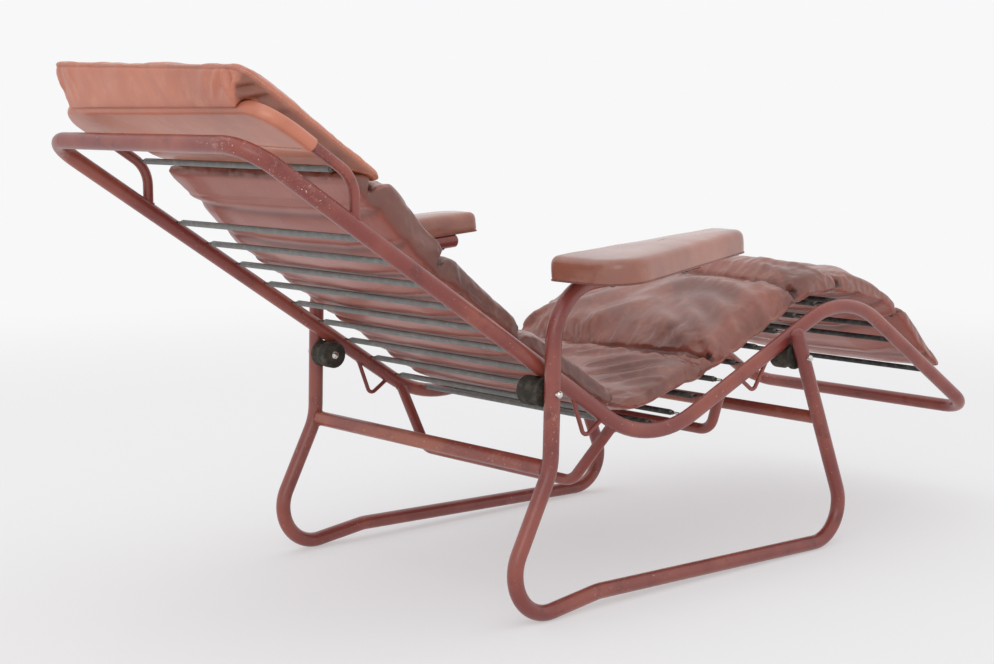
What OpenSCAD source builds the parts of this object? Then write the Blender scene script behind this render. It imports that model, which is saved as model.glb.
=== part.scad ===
// Reclining lounge chair: a sprung tube frame that glides on four grooved rollers.
// Millimetres. X runs across the seat, Y toward the head end, Z up from the floor.

/* [Lounge frame] */
// Outside diameter of the main tube
tube_d = 25; // [22:0.5:28]
// Wall of the steel tubes
tube_wall = 1.5; // [1:0.1:2]
// Half of the distance between the two long tubes
loop_half_w = 272; // [250:1:300]
// Length of the back run, from the seat fold to the top bar
back_run = 898; // [840:1:960]
// Length of the thigh run, from the seat fold to the knee
thigh_run = 549.5; // [530:0.5:570]
// Length of the calf run, from the knee to the foot bar
calf_run = 471; // [440:1:500]
// Slope of the back run in degrees
back_slope = 33.4; // [32:0.1:35]
// Slope of the thigh run in degrees
thigh_slope = 23.4; // [22:0.1:25]
// Slope of the calf run in degrees
calf_slope = 33.2; // [31:0.1:35]
// Height of the corner where the back and thigh runs would meet
fold_z = 227; // [220:1:234]
// Bend radius of the seat fold
fold_bend_r = 212; // [200:1:220]
// Bend radius of the knee
knee_bend_r = 200; // [190:1:208]
// Bend radius of the top and foot corners
end_bend_r = 55; // [45:1:65]

/* [Side frames] */
// Gap between the lounge's long tubes and the tubes of the side frames
side_clearance = 4; // [2:0.5:12]
// Place of the rear roller axle along the chair
rear_axle_y = 313; // [305:1:321]
// Place of the front roller axle along the chair
front_axle_y = -276; // [-284:1:-268]
// Lean of the front upright in degrees
front_lean = 22.7; // [20:0.1:25]
// Length of the front upright above the roller axle
front_top_run = 48; // [40:1:56]
// Bend radius of the front foot
front_bend_r = 64; // [56:1:72]
// Rise of the floor rail toward the rear in degrees
rail_rise = 1.37; // [1:0.01:2]
// Slope of the ramp behind the floor rail in degrees
ramp_fall = 7.2; // [6.5:0.1:8]
// Bend radius of the rear foot
rear_bend_r = 67; // [62:1:72]
// Lean of the rear leg in degrees
leg_lean = 27.8; // [26:0.1:30]
// Height of the kink above the rear leg
kink_z = 231; // [222:1:240]
// Lean of the rear upright in degrees
upright_lean = 1.75; // [1:0.05:2.5]
// Bend radius of the small kinks
kink_bend_r = 100; // [80:1:120]
// Rise of the arm toward the front in degrees
arm_rise = 4; // [3:0.1:5]
// Height of the arm tube's front end
arm_end_z = 525; // [515:1:535]
// Place of the arm tube's front end along the chair
arm_end_y = -2; // [-20:1:20]
// Bend radius behind the arm
arm_bend_r = 90; // [75:1:100]
// Outside diameter of the front crossbar
front_bar_d = 22; // [18:0.5:25]
// Height of the front crossbar
front_bar_z = 232.6; // [220:0.1:245]

/* [Rollers] */
// Radius of the roller at the bottom of its groove
roller_waist_r = 19; // [17:0.5:21]
// Outside radius of the roller
roller_r = 22.5; // [21.5:0.5:24]
// Clear gap between the roller groove and the tube
roller_gap = 0.45; // [0.35:0.05:0.7]
// Length of the roller
roller_len = 43; // [38:0.5:46]
// Outside diameter of the roller's bush
bush_d = 14; // [12:0.5:18]
// Diameter of the roller bolt
bolt_d = 8; // [6:0.5:9]
// Running clearance around the bolt
bolt_clear = 0.05; // [0.03:0.01:0.09]
// Diameter of the bolt's domed head
bolt_head_d = 14; // [12:0.5:16]
// Diameter of the cap nut
cap_nut_d = 11; // [10:0.5:14]

/* [Braces and hoop] */
// Outside diameter of the two hanging braces
brace_d = 18; // [16:0.5:20]
// Place of the rear brace's ends along the frame
rear_brace_run = 83; // [76:1:90]
// Place of the rear brace's bottom along the chair
rear_brace_y = 161; // [150:1:170]
// Height of the rear brace's bottom
rear_brace_z = 173; // [165:1:185]
// How far the rear brace's bar ends inside the long tubes' axes
rear_brace_inset = 86; // [70:1:100]
// Place of the front brace's ends along the frame
front_brace_run = -178; // [-186:1:-172]
// Place of the front brace's bottom along the chair
front_brace_y = -111; // [-118:1:-104]
// Height of the front brace's bottom
front_brace_z = 229; // [222:1:238]
// How far the front brace's bar ends inside the long tubes' axes
front_brace_inset = 34; // [26:1:44]
// Bend radius of the brace corners
brace_bend_r = 36; // [30:1:40]
// Outside diameter of the headrest hoop
hoop_d = 16; // [14:0.5:18]
// Place of the hoop's feet along the back run
hoop_foot_run = 694; // [685:1:705]
// Height of the hoop above the back run
hoop_lift = 55; // [50:1:60]
// Length of the hoop from its feet to its top bar
hoop_len = 206; // [195:1:216]
// Bend radius of the hoop
hoop_bend_r = 50; // [42:1:56]
// Diameter of the stop bracket rod
stop_rod_d = 7; // [6:0.5:8]

/* [Springs] */
// Distance between the back springs
back_spring_pitch = 66; // [64:0.5:68]
// Number of back springs
back_spring_count = 10; // [8:1:10]
// Place of the lowest back spring along the frame
back_spring_first = 41.5; // [38:0.5:45]
// Distance between the seat springs
seat_spring_pitch = 57; // [56:0.5:58]
// Number of springs from the fold over the knee
seat_spring_count = 11; // [9:1:11]
// Place of the first seat spring along the frame
seat_spring_first = -28; // [-30:0.5:-26]
// Outside diameter of a spring's sheath
sheath_d = 9.6; // [8:0.2:11]
// Diameter of the spring inside the sheath
spring_d = 8; // [7:0.2:9]
// Diameter of the spring's end wire
wire_d = 1.8; // [1.4:0.1:2]
// Height of the springs above the tube's middle
spring_lift = 7; // [5:0.5:8]

/* [Cushions] */
// How far the mattress's edges lie inside the long tubes' axes
mattress_inset = 31; // [22:1:46]
// Thickness of the mattress on the lower back
mattress_t = 46; // [42:1:50]
// Place of the mattress's lower end on the calf run
mattress_foot_run = 388; // [376:1:400]
// How far the mattress reaches past the hoop's feet
mattress_past_hoop = 25; // [20:1:30]
// How far the pillow's edges lie inside the long tubes' axes
pillow_inset = 31; // [22:1:46]
// How far the pillow reaches below the hoop's feet
pillow_overlap = 22; // [16:1:26]
// Length of the pillow
pillow_len = 276; // [262:1:288]
// Length of the sleeve under the pillow, from its hem to the hoop's top bar
sleeve_len = 72; // [64:1:80]
// Thickness of the arm board
arm_board_t = 10; // [8:0.5:14]
// Thickness of the arm pad above its board
arm_pad_t = 24; // [18:0.5:30]

/* [Hidden] */
$fn = 36;

// Clearances and small sizes shared by all pieces
seat_gap = 0.3;
overrun = 2;
tube_r = tube_d / 2;
brace_r = brace_d / 2;
hoop_r = hoop_d / 2;
wire_r = wire_d / 2;
bolt_r = bolt_d / 2;

// Bent tubes in a plane
function along(a, b) = (b - a) / norm(b - a);
function turn(a, b, c) = acos(along(a, b) * along(b, c));
function left_of(v) = [-v.y, v.x];
function is_end(pts, i) = i == 0 || i == len(pts) - 1;
function trim_at(pts, radii, i) =
    is_end(pts, i) ? 0 : radii[i - 1] * tan(turn(pts[i - 1], pts[i], pts[i + 1]) / 2);

module ring_face(r, wall) {
    difference() {
        circle(r);
        if (wall > 0) circle(r - wall);
    }
}

// Straights run a lap into the bends, which are drawn a hair thinner, so that the two fuse cleanly
lap = 0.6;
hair = 0.04;

module straight(a, b, r, wall, lap_a = lap, lap_b = lap) {
    translate(a - along(a, b) * lap_a)
        rotate([0, 90, atan2(b.y - a.y, b.x - a.x)])
            linear_extrude(norm(b - a) + lap_a + lap_b)
                ring_face(r, wall);
}

module bend(bend_r, sweep, r, wall) {
    rotate_extrude(angle = sweep)
        translate([bend_r, 0])
            ring_face(r - hair, wall > 0 ? wall - 2 * hair : 0);
}

module elbow(a, b, c, bend_r, r, wall) {
    t = turn(a, b, c);
    s = sign(cross(along(a, b), along(b, c)));
    start = b - along(a, b) * bend_r * tan(t / 2);
    mid = start + left_of(along(a, b)) * s * bend_r;
    a0 = atan2(start.y - mid.y, start.x - mid.x);
    translate(mid)
        rotate([0, 0, s > 0 ? a0 : a0 - t])
            bend(bend_r, t, r, wall);
}

module bent_tube(pts, radii, r, wall, lap_ends = 0) {
    n = len(pts);
    for (i = [0 : n - 2]) {
        a = pts[i] + along(pts[i], pts[i + 1]) * trim_at(pts, radii, i);
        b = pts[i + 1] - along(pts[i], pts[i + 1]) * trim_at(pts, radii, i + 1);
        straight(a, b, r, wall, i == 0 ? lap_ends : lap, i == n - 2 ? lap_ends : lap);
    }
    for (i = [1 : n - 2])
        elbow(pts[i - 1], pts[i], pts[i + 1], radii[i - 1], r, wall);
}

// A drawing in the plane across X: its x runs along Y and its y along Z
module upright_plane(x) {
    translate([x, 0, 0])
        rotate([90, 0, 90])
            children();
}

// A drawing whose y runs along a slope, from the point p in the plane across X
module slope_plane(p, slope) {
    translate([0, p.x, p.y])
        rotate([slope, 0, 0])
            children();
}

module cross_rod(p, half_len, r) {
    translate([-half_len, p.x, p.y])
        rotate([0, 90, 0])
            cylinder(h = 2 * half_len, r = r);
}

module dome(r, rise) {
    ball_r = (r * r + rise * rise) / (2 * rise);
    rotate_extrude()
        intersection() {
            translate([0, rise - ball_r])
                circle(ball_r);
            square([r, rise]);
        }
}

// The lounge frame's side line: back, fold, thigh, knee, calf
back_dir = [cos(back_slope), sin(back_slope)];
back_up = left_of(back_dir);
thigh_dir = [-cos(thigh_slope), sin(thigh_slope)];
thigh_up = -left_of(thigh_dir);
calf_dir = [-cos(calf_slope), -sin(calf_slope)];
calf_up = -left_of(calf_dir);
fold_y = (-thigh_run * thigh_dir.x - calf_run * calf_dir.x - back_run * back_dir.x) / 2;
fold = [fold_y, fold_z];
knee = fold + thigh_dir * thigh_run;
fold_half_turn = (back_slope + thigh_slope) / 2;
knee_half_turn = (thigh_slope + calf_slope) / 2;
fold_trim = fold_bend_r * tan(fold_half_turn);
knee_trim = knee_bend_r * tan(knee_half_turn);
fold_half_arc = fold_bend_r * fold_half_turn * PI / 180;
knee_arc = 2 * knee_bend_r * knee_half_turn * PI / 180;
thigh_flat = thigh_run - fold_trim - knee_trim;
fold_mid_slope = (back_slope - thigh_slope) / 2;
knee_mid_slope = (calf_slope - thigh_slope) / 2;
fold_centre = fold + left_of([cos(fold_mid_slope), sin(fold_mid_slope)]) * fold_bend_r / cos(fold_half_turn);
knee_centre = knee - left_of([cos(knee_mid_slope), sin(knee_mid_slope)]) * knee_bend_r / cos(knee_half_turn);
back_start = back_run - end_bend_r;
calf_start = calf_run - end_bend_r;

function back_at(s, t) = fold + back_dir * s + back_up * t;
function thigh_at(s, t) = fold + thigh_dir * s + thigh_up * t;
function calf_at(s, t) = knee + calf_dir * s + calf_up * t;

// Places along the side line, u counted from the middle of the fold toward the head
function knee_u(u) = -u - fold_half_arc - thigh_flat;
function line_slope(u) =
    u >= fold_half_arc ? back_slope :
    u > -fold_half_arc ? fold_mid_slope + u / fold_bend_r * 180 / PI :
    knee_u(u) <= 0 ? -thigh_slope :
    knee_u(u) < knee_arc ? -thigh_slope + knee_u(u) / knee_bend_r * 180 / PI : calf_slope;
function line_up(u) = left_of([cos(line_slope(u)), sin(line_slope(u))]);
function line_at(u, t) =
    u >= fold_half_arc ? back_at(fold_trim + u - fold_half_arc, t) :
    u > -fold_half_arc ? fold_centre - line_up(u) * (fold_bend_r - t) :
    knee_u(u) <= 0 ? thigh_at(fold_trim - u - fold_half_arc, t) :
    knee_u(u) < knee_arc ? knee_centre + line_up(u) * (knee_bend_r + t) :
    calf_at(knee_trim + knee_u(u) - knee_arc, t);
function back_u(s) = s - fold_trim + fold_half_arc;
function calf_u(s) = -(s - knee_trim + knee_arc + fold_half_arc + thigh_flat);

module side_rails(r, wall) {
    for (x = [-loop_half_w, loop_half_w])
        upright_plane(x)
            bent_tube([back_at(back_start, 0), fold, knee, calf_at(calf_start, 0)],
                [fold_bend_r, knee_bend_r], r, wall, lap);
}

// A closed end: a bar across with two rounded corners
module end_bow(half_w, reach, bend_r, r, wall) {
    straight([bend_r - half_w, reach], [half_w - bend_r, reach], r, wall);
    for (m = [0, 1])
        mirror([m, 0, 0])
            translate([half_w - bend_r, reach - bend_r])
                bend(bend_r, 90, r, wall);
}

// Single lengths of the tubes, for what is cut to sit on them
module back_length() {
    for (x = [-loop_half_w, loop_half_w])
        upright_plane(x)
            straight(back_at(fold_trim, 0), back_at(back_start, 0), tube_r, 0);
}

module thigh_length() {
    for (x = [-loop_half_w, loop_half_w])
        upright_plane(x)
            straight(thigh_at(fold_trim, 0), thigh_at(thigh_run - knee_trim, 0), tube_r, 0);
}

module fold_bend() {
    for (x = [-loop_half_w, loop_half_w])
        upright_plane(x)
            elbow(back_at(back_start, 0), fold, knee, fold_bend_r, tube_r, 0);
}

// Spring places along the side line
hook_hole_r = wire_r + seat_gap;
side_x = loop_half_w + tube_d + side_clearance;
rear_brace_half_w = loop_half_w - rear_brace_inset;
front_brace_half_w = loop_half_w - front_brace_inset;
mattress_half_w = loop_half_w - mattress_inset;
pillow_half_w = loop_half_w - pillow_inset;
rail_inner_x = loop_half_w - sqrt(tube_r * tube_r - spring_lift * spring_lift);
hook_len = 15;
core_show = 5;
hook_half_w = 2.4;
peg_len = 4;
core_end_x = rail_inner_x - hook_len;
seat_spring_places = [for (k = [0 : seat_spring_count - 1]) seat_spring_first - k * seat_spring_pitch];
back_spring_places = [for (k = [0 : back_spring_count - 1]) back_spring_first + k * back_spring_pitch];
calf_spring_1_run = 145;
calf_spring_2_run = 205;
calf_spring_3_run = 325;
calf_spring_places = [calf_u(calf_spring_1_run), calf_u(calf_spring_2_run), calf_u(calf_spring_3_run)];
spring_places = concat(back_spring_places, seat_spring_places, calf_spring_places);
hoop_top_run = hoop_foot_run + hoop_len;
sleeve_foot_run = hoop_top_run - sleeve_len;
mattress_head_run = hoop_foot_run + mattress_past_hoop;
pillow_foot_run = hoop_foot_run - pillow_overlap;
pillow_head_run = pillow_foot_run + pillow_len;
hoop_spring_gap = 16;
hoop_spring_pitch = 60;
hoop_spring_2_run = sleeve_foot_run - hoop_spring_gap;
hoop_spring_1_run = hoop_spring_2_run - hoop_spring_pitch;

module hook_holes() {
    for (u = spring_places, m = [0, 1])
        mirror([m, 0, 0])
            translate([rail_inner_x - overrun, line_at(u, spring_lift).x, line_at(u, spring_lift).y])
                rotate([0, 90, 0])
                    cylinder(h = overrun + peg_len + overrun, r = hook_hole_r);
}

module main_loop() {
    color("sienna")
        difference() {
            union() {
                side_rails(tube_r, tube_wall);
                slope_plane(fold, back_slope)
                    end_bow(loop_half_w, back_run, end_bend_r, tube_r, tube_wall);
                slope_plane(knee, 180 + calf_slope)
                    end_bow(loop_half_w, calf_run, end_bend_r, tube_r, tube_wall);
            }
            hook_holes();
        }
}

// Headrest hoop: two feet stand on the long tubes and bend over along the back
hoop_rise = hoop_lift / cos(back_slope);
hoop_foot = back_at(hoop_foot_run, 0);
hoop_knee = hoop_foot + [0, hoop_rise];
hoop_bow_start = hoop_top_run - hoop_bend_r;

module hoop_shape(r, wall) {
    for (x = [-loop_half_w, loop_half_w])
        upright_plane(x)
            bent_tube([hoop_foot, hoop_knee, back_at(hoop_bow_start, hoop_lift)], [hoop_bend_r], r, wall, lap);
    slope_plane(back_at(0, hoop_lift), back_slope)
        end_bow(loop_half_w, hoop_top_run, hoop_bend_r, r, wall);
}

module hoop_spring_holes() {
    for (s = [hoop_spring_1_run, hoop_spring_2_run], m = [0, 1])
        mirror([m, 0, 0])
            translate([loop_half_w - hoop_r - overrun, back_at(s, hoop_lift).x, back_at(s, hoop_lift).y])
                rotate([0, 90, 0])
                    cylinder(h = overrun + peg_len + overrun, r = hook_hole_r);
}

module headrest_hoop() {
    color("indianred")
        difference() {
            hoop_shape(hoop_r, tube_wall);
            back_length();
            hoop_spring_holes();
        }
}

// Braces that hang under the frame
module hanging_brace(top, bottom, top_half_w, bottom_half_w) {
    drop = norm(top - bottom);
    lean = atan2(top.y - bottom.y, top.x - bottom.x);
    difference() {
        slope_plane(bottom, lean)
            bent_tube([[-top_half_w, drop], [-bottom_half_w, 0], [bottom_half_w, 0], [top_half_w, drop]],
                [brace_bend_r, brace_bend_r], brace_r, tube_wall);
        children();
    }
}

module rear_brace() {
    color("brown")
        hanging_brace(line_at(rear_brace_run, 0), [rear_brace_y, rear_brace_z], loop_half_w, rear_brace_half_w)
            fold_bend();
}

module front_brace() {
    color("brown")
        hanging_brace(line_at(front_brace_run, 0), [front_brace_y, front_brace_z], loop_half_w,
            front_brace_half_w)
            thigh_length();
}

// Stop brackets: a bent rod under each long tube, which the roller's groove meets
stop_rod_r = stop_rod_d / 2;
stop_bend_r = 10;
rear_stop_far_run = 200;
rear_stop_low_run = 140;
rear_stop_near_run = 121;
rear_stop_drop = 49;
front_stop_far_run = 316;
front_stop_low_run = 260;
front_stop_near_run = 239;
front_stop_drop = 42;

module stop_bracket(x, pts) {
    difference() {
        upright_plane(x)
            bent_tube(pts, [stop_bend_r], stop_rod_r, 0);
        children();
    }
}

function rear_stop_points() = [back_at(rear_stop_far_run, -tube_r / 2), back_at(rear_stop_low_run, -rear_stop_drop),
    back_at(rear_stop_near_run, -tube_r / 2)];
function front_stop_points() = [thigh_at(front_stop_far_run, -tube_r / 2),
    thigh_at(front_stop_low_run, -front_stop_drop), thigh_at(front_stop_near_run, -tube_r / 2)];

module rear_stop_left() {
    color("firebrick") stop_bracket(loop_half_w, rear_stop_points()) back_length();
}

module rear_stop_right() {
    color("firebrick") stop_bracket(-loop_half_w, rear_stop_points()) back_length();
}

module front_stop_left() {
    color("firebrick") stop_bracket(loop_half_w, front_stop_points()) thigh_length();
}

module front_stop_right() {
    color("firebrick") stop_bracket(-loop_half_w, front_stop_points()) thigh_length();
}

// Springs: a straight wound rod in a sheath, with a wire hook at each end
module spring_end(end_x, reach, foot_x) {
    for (y = [-hook_half_w, hook_half_w])
        translate([end_x - overrun, y, 0])
            rotate([0, 90, 0])
                cylinder(h = reach - hook_half_w + overrun, r = wire_r, $fn = 24);
    translate([end_x + reach - hook_half_w, 0, 0])
        rotate([0, 0, -90])
            rotate_extrude(angle = 180, $fn = 24)
                translate([hook_half_w, 0])
                    circle(wire_r, $fn = 24);
    translate([end_x + reach, 0, 0])
        rotate([0, 90, 0])
            cylinder(h = foot_x - end_x - reach, r = wire_r, $fn = 24);
}

module sprung_rod(p, slope, end_x, reach, foot_x) {
    translate([0, p.x, p.y])
        rotate([slope, 0, 0]) {
            cross_rod([0, 0], end_x, spring_d / 2);
            cross_rod([0, 0], end_x - core_show, sheath_d / 2);
            for (m = [0, 1])
                mirror([m, 0, 0])
                    spring_end(end_x, reach, foot_x);
        }
}

module line_spring(u) {
    sprung_rod(line_at(u, spring_lift), line_slope(u), core_end_x, hook_len - wire_d, rail_inner_x + peg_len);
}

module hoop_spring(s) {
    inner_x = loop_half_w - hoop_r;
    sprung_rod(back_at(s, hoop_lift), back_slope, inner_x - hook_len, hook_len - wire_d, inner_x + peg_len);
}

// Base side frame: one bent tube from the front upright round the floor rail to the arm
function drop_to(z_from, z_to, lean) = (z_from - z_to) * tan(lean);
roller_line = tube_r + roller_waist_r + roller_gap;
rear_axle = [rear_axle_y, fold.y + (rear_axle_y - fold.x) * tan(back_slope) - roller_line / cos(back_slope)];
front_axle = [front_axle_y, fold.y + (fold.x - front_axle_y) * tan(thigh_slope) - roller_line / cos(thigh_slope)];
front_up = [sin(front_lean), cos(front_lean)];
rail_dir = [cos(rail_rise), sin(rail_rise)];
ramp_dir = [cos(ramp_fall), -sin(ramp_fall)];
leg_dir = [-sin(leg_lean), cos(leg_lean)];
// Height of a bend's corner so that the bend's lowest point touches the floor
function corner_z(d0, d1, bend_r) =
    tube_r - bend_r * ((left_of(d0) + left_of(d1)).y / (1 + d0 * d1) - 1);
front_corner_z = corner_z(-front_up, rail_dir, front_bend_r);
rear_corner_z = corner_z(ramp_dir, leg_dir, rear_bend_r);
front_corner = [front_axle.x - drop_to(front_axle.y, front_corner_z, front_lean), front_corner_z];
kink = [rear_axle.x + drop_to(rear_axle.y, kink_z, upright_lean), kink_z];
rear_corner = [kink.x + drop_to(kink_z, rear_corner_z, leg_lean), rear_corner_z];
ramp_gap = rear_corner - front_corner;
rail_run = cross(ramp_gap, ramp_dir) / cross(rail_dir, ramp_dir);
rail_kink = front_corner + rail_dir * rail_run;
arm_dir = [-cos(arm_rise), sin(arm_rise)];
arm_up = -left_of(arm_dir);
arm_end = [arm_end_y, arm_end_z];
upright_dir = [-sin(upright_lean), cos(upright_lean)];
arm_run = cross(rear_axle - arm_end, upright_dir) / cross(-arm_dir, upright_dir);
arm_corner = arm_end - arm_dir * arm_run;
front_top = front_axle + front_up * front_top_run;
side_points = [front_top, front_corner, rail_kink, rear_corner, kink, arm_corner, arm_end];
side_radii = [front_bend_r, kink_bend_r, rear_bend_r, kink_bend_r, arm_bend_r];

// Screws that hold the arm board: places back from the arm tube's front end
arm_screw_1_run = 30;
arm_screw_2_run = 190;
screw_r = 3;
screw_head_r = 6;
screw_head_t = 3;
screw_bite = 7;
bolt_hole_r = bolt_r + bolt_clear;

module arm_plane(run) {
    p = arm_end - arm_dir * run;
    translate([0, p.x, p.y])
        rotate([-arm_rise, 0, 0])
            children();
}

module side_frame(sgn) {
    difference() {
        upright_plane(sgn * side_x)
            bent_tube(side_points, side_radii, tube_r, tube_wall);
        for (p = [front_axle, rear_axle])
            translate([sgn * side_x, p.x, p.y])
                rotate([0, 90, 0])
                    cylinder(h = tube_d + 2 * overrun, r = bolt_hole_r, center = true);
        for (run = [arm_screw_1_run, arm_screw_2_run])
            arm_plane(run)
                translate([sgn * side_x, 0, 0])
                    cylinder(h = tube_d + 2 * overrun, r = screw_r + seat_gap, center = true);
    }
}

module side_frame_left() {
    color("sienna") side_frame(1);
}

module side_frame_right() {
    color("sienna") side_frame(-1);
}

module crossbar(p, r) {
    difference() {
        cross_rod(p, side_x, r);
        cross_rod(p, side_x + overrun, r - tube_wall);
        children();
    }
}

module rear_crossbar() {
    color("peru")
        crossbar(kink, tube_r)
            for (x = [-side_x, side_x])
                upright_plane(x)
                    elbow(rear_corner, kink, arm_corner, kink_bend_r, tube_r, 0);
}

module front_crossbar() {
    bar_y = front_axle.x - drop_to(front_axle.y, front_bar_z, front_lean);
    color("peru")
        crossbar([bar_y, front_bar_z], front_bar_d / 2)
            for (x = [-side_x, side_x])
                upright_plane(x)
                    straight(front_top, front_corner, tube_r, 0);
}

// Domed plugs in the open ends of the side tubes
plug_rise = 7;
plug_depth = 12;

module plug(p, dir) {
    translate([p.x, p.y, 0])
        rotate([0, 90, atan2(dir.y, dir.x)]) {
            dome(tube_r, plug_rise);
            translate([0, 0, -plug_depth])
                cylinder(h = plug_depth, r = tube_r - tube_wall);
        }
}

module tube_plugs() {
    color("maroon")
        for (x = [-side_x, side_x])
            upright_plane(x) {
                plug(front_top, front_up);
                plug(arm_end, arm_dir);
            }
}

// Arm rest: an outline that widens toward the rear, seen from above, on the arm tube
arm_inset = 8;
arm_rear_w = 163;
arm_front_w = 73;
arm_inner_x = side_x - arm_inset;
arm_rear_x = arm_inner_x + arm_rear_w;
arm_front_x = arm_inner_x + arm_front_w;
arm_rear_y = 314;
arm_front_y = -58;
arm_side_r = 12;
arm_rear_r = 50;
arm_front_r = 25;
arm_arc_steps = 5;
arm_crown = 6;
arm_side_swell = 1.5;
arm_board_inset = 2;
arm_skew = (arm_rear_x - arm_front_x) * arm_front_r / (arm_rear_y - arm_front_y);
arm_corners = [
    [arm_inner_x, arm_rear_y],
    [arm_rear_x, arm_rear_y],
    [arm_front_x - arm_skew, arm_front_y],
    [arm_inner_x, arm_front_y]
];
arm_radii = [arm_side_r, arm_rear_r, arm_front_r, arm_side_r];

// Rounded outline as pairs of a point and its outward direction, for corners that turn clockwise
function corner_fan(a, b, c, r) =
    let (t = turn(a, b, c), p = b - along(a, b) * r * tan(t / 2), m = p - left_of(along(a, b)) * r,
        a0 = atan2(p.y - m.y, p.x - m.x))
    [for (i = [0 : arm_arc_steps])
        let (q = a0 - t * i / arm_arc_steps, d = [cos(q), sin(q)]) [m + d * r, d]];
function round_outline(pts, radii) =
    [for (i = [0 : len(pts) - 1])
        each corner_fan(pts[(i + len(pts) - 1) % len(pts)], pts[i], pts[(i + 1) % len(pts)], radii[i])];
arm_outline = round_outline(arm_corners, arm_radii);
arm_centre = [(arm_inner_x + (arm_rear_x + arm_front_x) / 2) / 2, (arm_rear_y + arm_front_y) / 2];

// A closed skin over a stack of rings with equal counts
function fan_faces(n, at, tip, flip) =
    [for (j = [0 : n - 1]) flip ? [at + j, tip, at + (j + 1) % n] : [at + (j + 1) % n, tip, at + j]];
function side_faces(n, m) =
    [for (i = [0 : m - 2], j = [0 : n - 1])
        let (a = i * n + j, b = i * n + (j + 1) % n)
        each [[a, b, a + n], [b, b + n, a + n]]];
function mean(pts) = [for (k = [0 : 2]) [for (p = pts) p[k]] * [for (p = pts) 1] / len(pts)];

module skin(rings, flip) {
    n = len(rings[0]);
    m = len(rings);
    pts = concat([for (r = rings) each r], [mean(rings[0]), mean(rings[m - 1])]);
    faces = concat(fan_faces(n, 0, n * m, true), side_faces(n, m), fan_faces(n, n * (m - 1), n * m + 1, false));
    polyhedron(pts, flip ? [for (f = faces) [f[0], f[2], f[1]]] : faces, convexity = 4);
}

module arm_board(sgn) {
    difference() {
        arm_plane(0)
            translate([0, 0, tube_r])
                linear_extrude(arm_board_t)
                    polygon([for (q = arm_outline) [sgn * (q[0] - q[1] * arm_board_inset).x,
                        (q[0] - q[1] * arm_board_inset).y - arm_end_y]]);
        for (run = [arm_screw_1_run, arm_screw_2_run])
            arm_plane(run)
                translate([sgn * side_x, 0, tube_r - overrun])
                    cylinder(h = overrun + screw_bite, r = screw_r);
    }
}

module arm_board_left() {
    color("burlywood") arm_board(1);
}

module arm_board_right() {
    color("burlywood") arm_board(-1);
}

module arm_screws() {
    color("silver")
        for (sgn = [-1, 1], run = [arm_screw_1_run, arm_screw_2_run])
            arm_plane(run)
                translate([sgn * side_x, 0, -tube_r]) {
                    cylinder(h = tube_d + screw_bite, r = screw_r);
                    mirror([0, 0, 1])
                        dome(screw_head_r, screw_head_t);
                }
}

// Pad over the board: each level has a height share, an inset share and a size share
pad_level_shares = [[0, 0.5, 1], [0.12, 0, 1], [0.45, -0.25, 1], [0.75, 0.6, 1], [0.92, 2.4, 1],
    [1, 5, 1], [1.08, 6, 0.8], [1.2, 6, 0.5], [1.25, 6, 0.2]];

module arm_pad(sgn) {
    rings = [for (v = pad_level_shares)
        [for (q = arm_outline)
            let (p = q[0] - q[1] * v[1] * arm_board_inset, w = arm_centre + (p - arm_centre) * v[2])
            [sgn * w.x, w.y - arm_end_y, arm_pad_t * min(v[0], 1) + arm_crown * max(v[0] - 1, 0) * 4]]];
    arm_plane(0)
        translate([0, 0, tube_r + arm_board_t])
            skin(rings, sgn < 0);
}

module arm_pad_left() {
    color("rosybrown") arm_pad(1);
}

module arm_pad_right() {
    color("rosybrown") arm_pad(-1);
}

// Rollers: grooved rubber on a bush that turns on its bolt
washer_t = 1.2;
washer_r = 9;
nut_face_t = 4;
nut_rise = 4;
bolt_dome_rise = 4.5;
roller_edge_r = 3;
roller_out_x = side_x - tube_r - washer_t - seat_gap;
roller_in_x = roller_out_x - roller_len;
groove_r = tube_r + roller_gap;

module roller_shape() {
    rotate([0, 90, 0])
        rotate_extrude()
            difference() {
                union() {
                    translate([bush_d / 2, 0])
                        square([roller_r - bush_d / 2 - roller_edge_r, roller_len]);
                    translate([bush_d / 2, roller_edge_r])
                        square([roller_r - bush_d / 2, roller_len - 2 * roller_edge_r]);
                    for (y = [roller_edge_r, roller_len - roller_edge_r])
                        translate([roller_r - roller_edge_r, y])
                            circle(roller_edge_r);
                }
                translate([roller_line, loop_half_w - roller_in_x])
                    circle(groove_r);
            }
}

module roller_at(sgn, p) {
    color("darkslategray")
        mirror([sgn < 0 ? 1 : 0, 0, 0])
            translate([roller_in_x, p.x, p.y])
                roller_shape();
}

module bush_at(sgn, p) {
    color("lightgray")
        mirror([sgn < 0 ? 1 : 0, 0, 0])
            translate([roller_in_x, p.x, p.y])
                rotate([0, 90, 0])
                    difference() {
                        cylinder(h = roller_len, r = bush_d / 2);
                        translate([0, 0, -overrun])
                            cylinder(h = roller_len + 2 * overrun, r = bolt_hole_r);
                    }
}

module roller_bolts() {
    color("silver")
        for (p = [front_axle, rear_axle], m = [0, 1])
            mirror([m, 0, 0])
                translate([roller_in_x - seat_gap, p.x, p.y])
                    rotate([0, 90, 0]) {
                        cylinder(h = side_x + tube_r + nut_face_t - roller_in_x + seat_gap, r = bolt_r);
                        mirror([0, 0, 1])
                            dome(bolt_head_d / 2, bolt_dome_rise);
                    }
}

module roller_washers() {
    color("gray")
        for (p = [front_axle, rear_axle], m = [0, 1])
            mirror([m, 0, 0])
                translate([roller_out_x + seat_gap, p.x, p.y])
                    rotate([0, 90, 0])
                        difference() {
                            cylinder(h = washer_t, r = washer_r);
                            translate([0, 0, -overrun])
                                cylinder(h = washer_t + 2 * overrun, r = bolt_hole_r);
                        }
}

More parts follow.
